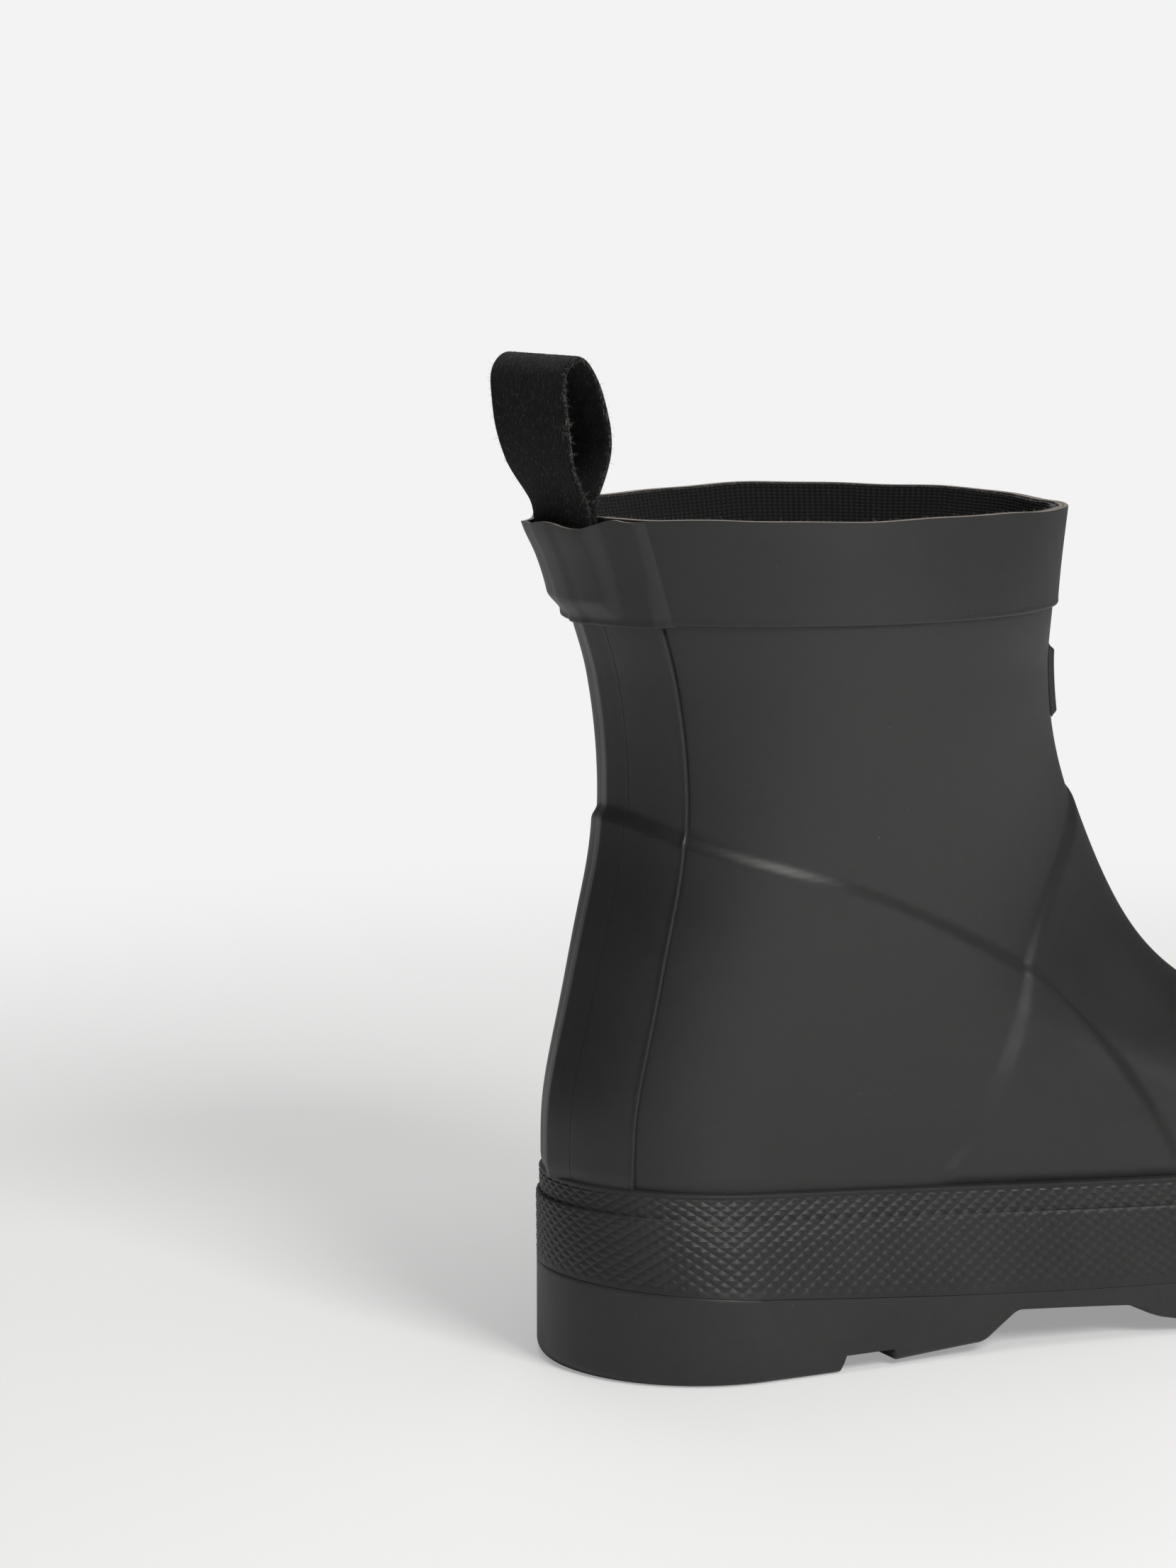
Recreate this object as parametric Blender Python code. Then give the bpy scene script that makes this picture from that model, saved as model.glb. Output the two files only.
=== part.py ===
"""Short rubber rain boot for the right foot, with a webbing pull loop, built up in layers like the real one.

+X points to the toe, -Y to the lateral side and +Z up. The skin is a set of rings that climb from the
feather edge (level 0) to the rim (level 1). An angle of 0 is the back of a ring, pi is its front, and the
lateral side lies between them. Every other layer is an offset of that skin.
"""

from math import pi, radians

import bmesh
import bpy
import numpy as np
from mathutils import Matrix, Vector

MM = 0.001

# Where the back of the heel stands, so that the whole boot's box is centred on the origin.
HEEL_X = -138.3
MIDDLE_Y = 0.5

# The skin's rings, in mm: back x z, front x z, half widths at heel and ball on the lateral and then the
# medial side, share of the length that rounds off at the heel and at the toe, waist on both sides, sag.
RINGS = {
    "feather": (9.6, 24, 273.5, 24, 36.8, 50, 35, 47, 0.14, 0.26, 3, 9, 10.6),
    "sole edge": (8.6, 48, 262, 42, 32.6, 49.5, 31.8, 46.5, 0.15, 0.27, 2.5, 8, 4),
    "low foot": (9, 66, 236, 62.5, 31.5, 43, 31, 41, 0.17, 0.33, 1, 5, 1.4),
    "mid foot": (13.8, 88, 198, 78, 33, 34.4, 33, 34, 0.22, 0.42, 0, 2.5, 0),
    "instep": (18.9, 110, 173, 97, 36.6, 32.6, 37, 32.6, 0.30, 0.50, 0, 0.5, 0),
    "ankle": (23, 130, 156.3, 125, 41.5, 36, 41.8, 36, 0.42, 0.54, 0, 0, 0),
    "shin": (23, 156, 145, 153, 45.3, 43.5, 45.3, 43.5, 0.48, 0.52, 0, 0, 0),
    "collar": (17, 186, 142, 186, 48, 50, 48, 50, 0.50, 0.50, 0, 0, 0),
    "rim": (9, 210, 144.4, 210, 47.5, 52.5, 47.5, 52.5, 0.50, 0.50, 0, 0, 0),
}
COLUMNS = 60
ROWS = 18
ROW_LEVELS = np.linspace(0, 1, ROWS)

# Layers, in mm. Depths run outwards from the skin's outer face.
GAP = 0.3
SKIN = 1.1
STIFFENER = 0.7
STIFFENER_GAP = 0.6
LINING = 0.8
TAPE = 0.6
BAND = 1.1
STAY = 0.8
RIB = 0.8
STRIP = 1.5
FOXING = 0.9
MIDSOLE = 2.1
SHANK = 1.2
SHANK_HALF = 6.5
SHANK_ENDS = (78, 168)

COLLAR_Z = 185.4
RIM_Z = 210
TAPE_Z = 178
STAY_HALF = 25.0
RIB_HALF = 4.2
PATCH_HALF = 29.0
BADGE_HALF = 20.0
BADGE_LOW, BADGE_HIGH = 155.2, 173.7
BADGE_RISE, BADGE_EDGE = 1.2, 0.5
PATCH_Z = 184.2

FOXING_TOP = 1.0
FOXING_STEP = 0.72
BOARD = 2.0
FOOTBED = 4.5
FOOTBED_INSET = 6.6
OUTSOLE_REACH = 2.6
# The outsole's edge below its top ring: how far each ring is drawn in, and its share of the height.
OUTSOLE_EDGE = ((0, 1), (0, 0.5), (0, 0.14), (0.7, 0.04), (2.6, 0))
RECESS_INSET = 7.0
RECESS_ENDS = (16.7, 266.0)
BOARD_ENDS = (12.2, 268.4)
FOOTBED_ENDS = (16.4, 263.4)
BLOCK_GAP = 0.6
STEP_XS = (96.0, 97.0, 162.0, 163.0)
GROOVE_DEPTH = 3.5
GROOVE_HALF = 2.5
# The notch across each side of the heel's tread, and how far below the tread every cutter starts.
NOTCH_START, NOTCH_END = 65.0, 79.5
NOTCH_INNER, NOTCH_OUTER = 26.0, 70.0
NOTCH_TOP = 3.6
CUT_BELOW = 4.0
# The tread's cross grooves: place along the boot and half width.
GROOVES = ((28, 24), (46, 26), (172, 36), (188, 38), (204, 38), (220, 35), (236, 30), (250, 22))

WEBBING = 1.7
WEBBING_WIDTH = 30.0
WEBBING_ROOM = 2.5
TAIL_DEPTH = 19.0
RIM_SLACK = 1.4
# The pull loop turns about a line across the back of the rim, in mm from the back of the heel.
LOOP_AXIS = (8.0, 212.0)
# The free loop's middle line in side view, from the axis: up the back ply and down the front one.
LOOP_ROUTE = (
    (-1.05, 0.4), (-1.6, 3), (-4.8, 11), (-7.2, 19), (-7.4, 28), (-4, 35.4), (1.2, 36.2),
    (5.2, 28), (6.6, 18), (5.4, 10), (2.6, 4), (1.05, 0.4),
)

# The tread's lowest line along the boot, in mm: flat heel, arch, forefoot and toe spring.
TREAD = (
    (0, 0), (66, 0), (106, 2.5), (122, 8.5), (147, 8.5), (157, 4.5), (179, 0),
    (220, 0), (238, 3), (262, 9.5), (282, 17),
)


def natural_spline(knots, values):
    """A function that gives the natural cubic spline through these values."""
    count = len(knots)
    step = np.diff(knots)
    system = np.zeros((count, count))
    right = np.zeros(values.shape)
    system[0, 0] = system[-1, -1] = 1
    for i in range(1, count - 1):
        system[i, i - 1 : i + 2] = step[i - 1], 2 * (step[i - 1] + step[i]), step[i]
        rise = (values[i + 1] - values[i]) / step[i]
        right[i] = 6 * (rise - (values[i] - values[i - 1]) / step[i - 1])
    bend = np.linalg.solve(system, right)

    def read(at):
        i = np.clip(np.searchsorted(knots, at, side="right") - 1, 0, count - 2)
        wide = step[i][..., None]
        after = ((at - knots[i]) / step[i])[..., None]
        before = 1 - after
        cubic = (before**3 - before) * bend[i] + (after**3 - after) * bend[i + 1]
        return before * values[i] + after * values[i + 1] + cubic * wide**2 / 6

    return read


def ring_levels(rows):
    """Each ring's level: the mean of how far the back and the front have climbed, from 0 to 1."""
    climb = np.hypot(*np.diff(rows[:, 0:2], axis=0).T) + np.hypot(*np.diff(rows[:, 2:4], axis=0).T)
    travel = np.concatenate([[0], np.cumsum(climb)])
    return travel / travel[-1]


RING_ROWS = np.array(list(RINGS.values()), float)
LEVELS = ring_levels(RING_ROWS)
LEVEL = dict(zip(RINGS, LEVELS))
PROFILE = natural_spline(LEVELS, RING_ROWS)


def smooth(t):
    t = np.clip(t, 0, 1)
    return t * t * (3 - 2 * t)


def skin_point(angle, level):
    """Points on the skin's outer face, in mm, with x from the back of the heel."""
    angle, level = np.broadcast_arrays(np.asarray(angle, float), np.asarray(level, float))
    profile = np.moveaxis(PROFILE(np.clip(level, 0, 1)), -1, 0)
    back_x, back_z, front_x, front_z, *widths = profile[:8]
    heel_round, toe_round, waist_lat, waist_med, sag = profile[8:]
    along = (1 - np.cos(angle)) / 2
    lateral = np.sin(angle) >= 0
    heel = np.where(lateral, widths[0], widths[2])
    ball = np.where(lateral, widths[1], widths[3])
    waist = np.where(lateral, waist_lat, waist_med)
    toe_round = np.minimum(toe_round, 1 - heel_round)
    into_heel = np.clip(1 - along / heel_round, 0, 1)
    into_toe = np.clip(1 - (1 - along) / toe_round, 0, 1)
    half = heel + (ball - heel) * smooth((along - 0.12) / 0.76)
    half = half - waist * np.sin(pi * np.clip((along - 0.15) / 0.6, 0, 1)) ** 2
    half = half * np.sqrt(1 - into_heel**2) * np.sqrt(1 - into_toe**2)
    x = back_x + (front_x - back_x) * along
    z = back_z + (front_z - back_z) * along - sag * np.sin(pi * along**1.2)
    return np.stack([x, np.where(lateral, -half, half), z], -1)


def skin_normal(angle, level):
    """Outward unit normals of the skin, held level at the rim and at the feather edge."""
    angle, level = np.broadcast_arrays(np.asarray(angle, float), np.asarray(level, float))
    turn, climb = 0.02, 0.004
    around = skin_point(angle + turn, level) - skin_point(angle - turn, level)
    above, below = np.minimum(level + climb, 1), np.maximum(level - climb, 0)
    normal = np.cross(around, skin_point(angle, above) - skin_point(angle, below))
    normal /= np.linalg.norm(normal, axis=-1, keepdims=True)
    tilt = smooth((1 - level) / 0.08) * smooth(level / 0.06)
    normal[..., 2] *= tilt
    return normal / np.linalg.norm(normal, axis=-1, keepdims=True)


def offset_point(angle, level, depth):
    return skin_point(angle, level) + skin_normal(angle, level) * np.asarray(depth, float)[..., None]


def level_at(height, angle=pi / 2):
    """The level whose ring passes this height, at one angle."""
    levels = np.linspace(0, 1, 801)
    return float(np.interp(height, skin_point(angle, levels)[:, 2], levels))


def angle_at(distance, level):
    """The angle this far round from the back, in mm, positive on the lateral side."""
    angles = np.linspace(0, pi, 241)
    found = []
    for reach, one in zip(*np.broadcast_arrays(distance, level)):
        steps = np.linalg.norm(np.diff(skin_point(angles, one), axis=0), axis=1)
        found.append(np.sign(reach) * np.interp(abs(reach), np.concatenate([[0], np.cumsum(steps)]), angles))
    return np.array(found)


def feather_z(x):
    along = np.clip((x - RINGS["feather"][0]) / (RINGS["feather"][2] - RINGS["feather"][0]), 0, 1)
    return 24 - 10.6 * np.sin(pi * along**1.2)


def tread_z(x):
    return np.interp(x, *zip(*TREAD))


def sole_half(x, side, inset):
    """Half widths of the feather edge's outline moved inwards; the side is -1 lateral, 1 medial."""
    back_x, front_x = RINGS["feather"][0] + inset, RINGS["feather"][2] - inset
    angle = np.arccos(np.clip(1 - 2 * (x - back_x) / (front_x - back_x), -1, 1))
    half = abs(skin_point(np.where(side < 0, angle, 2 * pi - angle), 0)[..., 1])
    return np.maximum(half - inset, 1.5)


def material(name, colour, roughness, metallic=0.0):
    found = bpy.data.materials.get(name) or bpy.data.materials.new(name)
    found.use_nodes = True
    shader = found.node_tree.nodes["Principled BSDF"]
    shader.inputs["Base Color"].default_value = (*colour, 1)
    shader.inputs["Roughness"].default_value = roughness
    shader.inputs["Metallic"].default_value = metallic
    return found


def add_object(name, points, faces, finish, sharp=40):
    """A smooth-shaded mesh object under the boot's empty, from points in mm."""
    mesh = bpy.data.meshes.new(name)
    mesh.from_pydata((np.asarray(points) * MM).tolist(), [], faces)
    shaped = bmesh.new()
    shaped.from_mesh(mesh)
    bmesh.ops.recalc_face_normals(shaped, faces=shaped.faces)
    shaped.to_mesh(mesh)
    shaped.free()
    mesh.shade_smooth()
    mesh.set_sharp_from_angle(angle=radians(sharp))
    mesh.materials.append(finish)
    made = bpy.data.objects.new(name, mesh)
    bpy.context.scene.collection.objects.link(made)
    made.parent = BOOT
    return made


def grid_faces(rows, columns, start, wrap, flip=False):
    faces = []
    for row in range(rows - 1):
        for column in range(columns if wrap else columns - 1):
            after = (column + 1) % columns
            low, high = start + row * columns, start + (row + 1) * columns
            face = (low + column, low + after, high + after, high + column)
            faces.append(face[::-1] if flip else face)
    return faces


def layer(name, finish, outer, inner, wrap=False):
    """A sheet between two grids of points, shape (rows, columns, 3), with its edges closed."""
    rows, columns = outer.shape[:2]
    inside = rows * columns
    faces = grid_faces(rows, columns, 0, wrap) + grid_faces(rows, columns, inside, wrap, flip=True)
    for row in (0, rows - 1):
        for column in range(columns if wrap else columns - 1):
            here, after = row * columns + column, row * columns + (column + 1) % columns
            faces.append((here, after, inside + after, inside + here))
    if not wrap:
        for row in range(rows - 1):
            for column in (0, columns - 1):
                here, above = row * columns + column, (row + 1) * columns + column
                faces.append((here, above, inside + above, inside + here))
    return add_object(name, np.concatenate([outer.reshape(-1, 3), inner.reshape(-1, 3)]), faces, finish)


def ring_sheet(name, finish, levels, outer, inner):
    """A sheet all the way round the boot, between two depths that may vary with the level."""
    angles = np.arange(COLUMNS) * 2 * pi / COLUMNS
    level, angle = np.meshgrid(levels, angles, indexing="ij")
    faces = []
    for depth in (outer, inner):
        depth = np.broadcast_to(np.reshape(depth, (-1, 1)), level.shape)
        faces.append(offset_point(angle, level, depth))
    return layer(name, finish, *faces, wrap=True)


def patch_sheet(name, finish, levels, edge_angles, outer, inner, columns):
    """A sheet across part of the boot: each row runs between its own two angles."""
    share = np.linspace(0, 1, columns)
    start, end = (np.reshape(edge, (-1, 1)) for edge in edge_angles)
    angle = start + (end - start) * share
    level = np.broadcast_to(np.reshape(levels, (-1, 1)), angle.shape)
    outer, inner = (np.broadcast_to(depth, angle.shape) for depth in (outer, inner))
    return layer(name, finish, offset_point(angle, level, outer), offset_point(angle, level, inner))


def ladder_faces(start, flip=False):
    """Faces that close one ring by joining its lateral points to its medial ones."""
    half = COLUMNS // 2
    faces = [(start, start + 1, start + COLUMNS - 1), (start + half - 1, start + half, start + half + 1)]
    for i in range(1, half - 1):
        faces.append((start + i, start + i + 1, start + COLUMNS - i - 1, start + COLUMNS - i))
    return [face[::-1] for face in faces] if flip else faces


def slab(name, finish, xs, half, low, high):
    """A flat filler under the foot with square ends; half, low and high are functions of x."""
    xs = np.asarray(xs, float)
    lateral, medial = -half(xs, -1), half(xs, 1)
    corners = [(lateral, low(xs)), (lateral, high(xs)), (medial, high(xs)), (medial, low(xs))]
    points = np.stack([np.stack([xs, y, z], -1) for y, z in corners], 1)
    faces = grid_faces(len(xs), 4, 0, wrap=True)
    faces += [(0, 1, 2, 3), tuple(4 * (len(xs) - 1) + i for i in range(4))]
    return add_object(name, points.reshape(-1, 3), faces, finish, sharp=30)


def inset_by(inset):
    return lambda x, side: sole_half(x, side, inset)


def above_feather(rise):
    return lambda x: feather_z(x) + rise


def stations(low, high, count=25):
    """Places along the sole that crowd towards its rounded ends."""
    return low + (high - low) * (1 - np.cos(np.linspace(0, pi, count))) / 2


def box_cutter(name, low, high):
    shaped = bmesh.new()
    centre = [(a + b) / 2 * MM for a, b in zip(low, high)]
    size = [(b - a) * MM for a, b in zip(low, high)]
    place = Matrix.Translation(centre) @ Matrix.Diagonal((*size, 1))
    bmesh.ops.create_cube(shaped, size=1, matrix=place)
    return add_cutter(name, shaped)


def add_cutter(name, shaped):
    mesh = bpy.data.meshes.new(name)
    shaped.to_mesh(mesh)
    shaped.free()
    cutter = bpy.data.objects.new(name, mesh)
    bpy.context.scene.collection.objects.link(cutter)
    cutter.parent = BOOT
    cutter.hide_render = True
    cutter.display_type = "WIRE"
    return cutter


def cut(body, cutter):
    boolean = body.modifiers.new(cutter.name, "BOOLEAN")
    boolean.operation = "DIFFERENCE"
    boolean.object = cutter


def skin():
    ring_sheet("upper_skin", RUBBER, ROW_LEVELS, 0, -SKIN)


def lining_depth(level):
    """The lining lies against the skin at the collar and leaves room for the stiffeners lower down."""
    below_collar = smooth((LEVEL["collar"] - level) / (LEVEL["collar"] - LEVEL["shin"]))
    return -SKIN - GAP - (2 * STIFFENER_GAP + STIFFENER - GAP) * below_collar


def lining():
    """A sock: one sheet round the foot and leg, closed under the foot."""
    floor = LEVEL["sole edge"] * (BOARD + 2 * GAP) / 24
    levels = ROW_LEVELS.copy()
    levels[0] = floor
    levels[-1] = level_at(RIM_Z - 0.4)
    depths = lining_depth(levels)
    angles = np.arange(COLUMNS) * 2 * pi / COLUMNS
    level, angle = np.meshgrid(levels, angles, indexing="ij")
    outer = offset_point(angle, level, np.broadcast_to(depths[:, None], level.shape))
    inner = offset_point(angle, level, np.broadcast_to(depths[:, None] - LINING, level.shape))
    inner[0, :, 2] = outer[0, :, 2] + LINING
    inside = ROWS * COLUMNS
    faces = grid_faces(ROWS, COLUMNS, 0, True) + grid_faces(ROWS, COLUMNS, inside, True, flip=True)
    faces += ladder_faces(0, flip=True) + ladder_faces(inside)
    top = inside - COLUMNS
    for column in range(COLUMNS):
        after = (column + 1) % COLUMNS
        faces.append((top + column, top + after, inside + top + after, inside + top + column))
    add_object("lining", np.concatenate([outer.reshape(-1, 3), inner.reshape(-1, 3)]), faces, CANVAS)


def top_tape():
    levels = np.linspace(level_at(TAPE_Z), level_at(RIM_Z - 0.4), 4)
    inner = lining_depth(levels) - LINING - GAP
    ring_sheet("top_tape", CANVAS, levels, inner, inner - TAPE)


def heel_counter():
    """A moulded stiffener round the heel, from one side of the arch to the other."""
    reach = np.linspace(-1.5, 1.5, 31)
    low = np.interp(abs(reach), (0, 1.15, 1.5), (0.06, 0.06, 0.26))
    high = np.interp(abs(reach), (0, 0.53, 0.83, 1.22, 1.5), (0.63, 0.62, 0.60, 0.57, 0.53))
    level = low + (high - low) * np.linspace(0, 1, 12)[:, None]
    angle = np.broadcast_to(reach, level.shape)
    outer = np.full(level.shape, -SKIN - STIFFENER_GAP)
    inner = outer - STIFFENER
    layer("heel_counter", STIFF, offset_point(angle, level, outer), offset_point(angle, level, inner))


def vamp_stiffener():
    """A tongue-shaped stiffener over the toe and instep, ahead of the heel counter."""
    levels = ROW_LEVELS[1:11]
    corners = (
        (0, 1.36), (0.16, 1.48), (0.33, 1.72), (0.451, 1.93), (0.512, 2.08), (0.561, 2.25), (0.60, 2.45),
    )
    edge = np.interp(levels, *zip(*corners))
    depth = -SKIN - STIFFENER_GAP
    patch_sheet("vamp_stiffener", STIFF, levels, (edge, 2 * pi - edge), depth, depth - STIFFENER, 41)


def band_sheet(name, finish, level_low, level_high, half, outer, inner, rows, columns):
    """A strip up the back of the boot, as wide everywhere as twice the half width."""
    levels = np.linspace(level_low, level_high, rows)
    edge = angle_at(np.full(rows, half), levels)
    patch_sheet(name, finish, levels, (-edge, edge), outer, inner, columns)


def back_strips():
    low, high = LEVEL["sole edge"] * FOXING_TOP + 0.004, level_at(PATCH_Z, 0) - 0.004
    band_sheet("back_stay", RUBBER, low, high, STAY_HALF, GAP + STAY, GAP, 16, 11)
    inner = 2 * GAP + STAY
    band_sheet("back_rib", RUBBER, low, high, RIB_HALF, inner + RIB, inner, 16, 5)


def collar_band():
    """A strip round the collar whose ends stop beside the loop's tail, under the back patch."""
    levels = np.linspace(level_at(COLLAR_Z), 1, 4)
    edge = angle_at(np.full(4, WEBBING_WIDTH / 2 + WEBBING_ROOM), levels)
    patch_sheet("collar_band", RUBBER, levels, (edge, 2 * pi - edge), GAP + BAND, GAP, 57)


def back_patch():
    """The patch that covers the band's ends and the loop's tail, and swells over the tail."""
    low, tail = level_at(PATCH_Z, 0), level_at(RIM_Z - TAIL_DEPTH, 0)
    levels = np.array([low, (low + tail) / 2, tail, tail + 0.012, 0.95, 0.975, 1])
    over_band = 2 * GAP + BAND
    slack = RIM_SLACK * smooth((levels - tail) / (1 - tail))[:, None]
    over_tail = 2 * GAP + 2 * WEBBING + 0.15 + slack
    swell = smooth((levels - tail + 0.012) / 0.02)[:, None]
    distance = np.linspace(-PATCH_HALF, PATCH_HALF, 17)
    beside = smooth((PATCH_HALF - 5 - abs(distance)) / 6)[None, :]
    over_rib = 3 * GAP + STAY + RIB
    depth = over_band + (over_tail - over_band) * beside * swell
    depth = np.maximum(depth, over_rib * smooth((PATCH_HALF - 1 - abs(distance)) / 8)[None, :])
    edge = angle_at(np.full(len(levels), PATCH_HALF), levels)
    patch_sheet("back_patch", RUBBER, levels, (-edge, edge), depth + BAND, depth, 17)


def loop_tail():
    """The two plies of the loop's webbing that are held under the back patch."""
    levels = np.linspace(level_at(RIM_Z - TAIL_DEPTH + 2, 0), level_at(RIM_Z - 0.4, 0), 4)
    edge = angle_at(np.full(4, WEBBING_WIDTH / 2), levels)
    patch_sheet("loop_tail", WEB, levels, (-edge, edge), GAP + 2 * WEBBING, GAP, 9)


def loop_route():
    knots = np.array(LOOP_ROUTE)
    travel = np.concatenate([[0], np.cumsum(np.hypot(*np.diff(knots, axis=0).T))])
    return natural_spline(travel, knots)(np.linspace(0, travel[-1], 34))


def pull_loop():
    """A band of webbing along the loop's route, standing on the joint's axis at the rim."""
    route = loop_route()
    ahead = np.gradient(route, axis=0)
    ahead /= np.linalg.norm(ahead, axis=1, keepdims=True)
    side = np.stack([-ahead[:, 1], ahead[:, 0]], 1) * WEBBING / 2
    half = WEBBING_WIDTH / 2
    rows = []
    for middle, out in zip(route, side):
        one, other = middle + out, middle - out
        rows.append([(one[0], -half, one[1]), (one[0], half, one[1]),
                     (other[0], half, other[1]), (other[0], -half, other[1])])
    points = np.array(rows)
    count = len(rows)
    faces = grid_faces(count, 4, 0, wrap=True)
    faces += [(0, 1, 2, 3), tuple(4 * (count - 1) + i for i in range(4))]
    loop = add_object("pull_loop", points.reshape(-1, 3), faces, WEB)
    loop.location = Vector((LOOP_AXIS[0], 0, LOOP_AXIS[1])) * MM


def front_badge():
    """A blank raised rectangle with a bevelled edge, high on the front of the leg."""
    levels = np.linspace(level_at(BADGE_LOW, pi), level_at(BADGE_HIGH, pi), 5)
    distance = np.linspace(-BADGE_HALF, BADGE_HALF, 9)
    scale = np.linalg.norm(skin_point(pi + 0.1, 0.8) - skin_point(pi, 0.8)) / 0.1
    angle = pi + distance / scale
    level, angle = np.meshgrid(levels, angle, indexing="ij")
    depth = np.full(level.shape, GAP + BADGE_RISE)
    depth[[0, -1], :] = GAP + BADGE_EDGE
    depth[:, [0, -1]] = GAP + BADGE_EDGE
    inner = offset_point(angle, level, np.full(level.shape, GAP))
    layer("front_badge", RUBBER, offset_point(angle, level, depth), inner)


def foxing():
    """A strip round the sole's edge, and a shorter, thicker band over its lower part."""
    top = LEVEL["sole edge"]
    strip = np.linspace(0, top * FOXING_TOP, 4)
    ring_sheet("foxing_strip", RUBBER, strip, GAP + STRIP, GAP)
    band = np.linspace(0, top * FOXING_STEP, 4)
    inner = 2 * GAP + STRIP
    ring_sheet("foxing_band", RUBBER, band, inner + FOXING, inner)


def outsole():
    angles = np.arange(COLUMNS) * 2 * pi / COLUMNS
    edge = offset_point(angles, 0, np.full(COLUMNS, OUTSOLE_REACH))
    x = edge[:, 0]
    top, bottom = skin_point(angles, 0)[:, 2] - GAP, tread_z(x)
    height = top - bottom
    rings = []
    for inset, share in OUTSOLE_EDGE:
        ring = offset_point(angles, 0, np.full(COLUMNS, OUTSOLE_REACH - inset))
        ring[:, 2] = bottom + height * share
        rings.append(ring)
    points = np.concatenate(rings)
    count = len(rings)
    faces = grid_faces(count, COLUMNS, 0, True, flip=True)
    faces += ladder_faces(0) + ladder_faces((count - 1) * COLUMNS, flip=True)
    body = add_object("outsole", points, faces, SOLE)
    recess = slab("recess_cutter", SOLE, recess_xs(), inset_by(RECESS_INSET), recess_floor, above_feather(6))
    cut(body, hidden(recess))
    for name, side in (("lateral", -1), ("medial", 1)):
        near, far = sorted((side * NOTCH_INNER, side * NOTCH_OUTER))
        low, high = (NOTCH_START, near, -CUT_BELOW), (NOTCH_END, far, NOTCH_TOP)
        cut(body, box_cutter(f"side_notch_{name}", low, high))
    for x, half in GROOVES:
        z = tread_z(x)
        low, high = (x - GROOVE_HALF, -half, z - CUT_BELOW), (x + GROOVE_HALF, half, z + GROOVE_DEPTH)
        cut(body, box_cutter(f"groove_{x}", low, high))


def recess_xs():
    return np.sort(np.append(stations(RECESS_ENDS[0], RECESS_ENDS[1]), STEP_XS))


def recess_floor(x):
    """The floor of the outsole's hollow top: deep in the heel and forefoot, shallow over the arch."""
    deep = np.minimum(tread_z(x) + 7, feather_z(x) - MIDSOLE - GAP)
    arch = (x > STEP_XS[0] + 0.5) & (x < STEP_XS[-1] - 0.5)
    return np.where(arch, feather_z(x) - MIDSOLE - GAP, deep)


def hidden(cutter):
    cutter.hide_render = True
    cutter.display_type = "WIRE"
    return cutter


def sole_fillers():
    """The blocks in the outsole's hollows, and the midsole, shank and insole board over them."""
    low, high = RECESS_ENDS
    top = above_feather(-MIDSOLE - GAP)

    def floor(x):
        return recess_floor(x) + GAP

    inset = inset_by(RECESS_INSET + GAP + 0.2)
    xs = np.clip(recess_xs(), low + BLOCK_GAP, high - BLOCK_GAP)
    slab("heel_filler", FOAM, np.append(xs[xs < STEP_XS[0]], STEP_XS[0] - GAP), inset, floor, top)
    slab("forefoot_filler", FOAM, np.append(STEP_XS[-1] + GAP, xs[xs > STEP_XS[-1]]), inset, floor, top)
    ends = stations(low + BLOCK_GAP, high - BLOCK_GAP)
    midsole = slab("midsole", FOAM, ends, inset, above_feather(-MIDSOLE), above_feather(0))
    shank_xs = np.linspace(*SHANK_ENDS, 10)
    slot_xs = shank_xs.copy()
    slot_xs[[0, -1]] += (-GAP, GAP)
    slot = slab("shank_slot", FOAM, slot_xs, shank_half(GAP), above_feather(-MIDSOLE - 2), above_feather(2))
    cut(midsole, hidden(slot))
    bottom = above_feather(-MIDSOLE)
    slab("steel_shank", STEEL, shank_xs, shank_half(0), bottom, above_feather(-MIDSOLE + SHANK))
    inset, low, high = inset_by(SKIN + 2 * GAP), above_feather(GAP), above_feather(GAP + BOARD)
    slab("insole_board", BOARD_FINISH, stations(*BOARD_ENDS), inset, low, high)


def shank_half(more):
    return lambda x, side: np.full(len(x), SHANK_HALF + more)


def footbed():
    """The loose foam footbed that lies on the sock's floor."""
    rise = 2 * GAP + BOARD + LINING + 2 * GAP
    xs = stations(*FOOTBED_ENDS)
    slab("footbed", FOOT, xs, inset_by(FOOTBED_INSET), above_feather(rise), above_feather(rise + FOOTBED))


def build():
    skin()
    lining()
    top_tape()
    heel_counter()
    vamp_stiffener()
    back_strips()
    collar_band()
    back_patch()
    loop_tail()
    pull_loop()
    front_badge()
    foxing()
    outsole()
    sole_fillers()
    footbed()


for old in list(bpy.data.objects):
    bpy.data.objects.remove(old)
RUBBER = material("rubber", (0.045, 0.045, 0.047), 0.55)
SOLE = material("sole_rubber", (0.038, 0.038, 0.04), 0.5)
CANVAS = material("canvas", (0.012, 0.012, 0.013), 0.95)
WEB = material("webbing", (0.014, 0.014, 0.015), 0.95)
STIFF = material("stiffener_rubber", (0.09, 0.08, 0.07), 0.8)
FOAM = material("foam", (0.2, 0.2, 0.2), 0.9)
STEEL = material("steel", (0.5, 0.5, 0.5), 0.35, 1.0)
BOARD_FINISH = material("fibre_board", (0.35, 0.27, 0.18), 0.9)
FOOT = material("footbed_fabric", (0.03, 0.03, 0.032), 0.95)
BOOT = bpy.data.objects.new("boot", None)
bpy.context.scene.collection.objects.link(BOOT)
BOOT.location = (HEEL_X * MM, MIDDLE_Y * MM, 0)
build()
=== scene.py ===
from math import cos, pi, radians, sin

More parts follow.
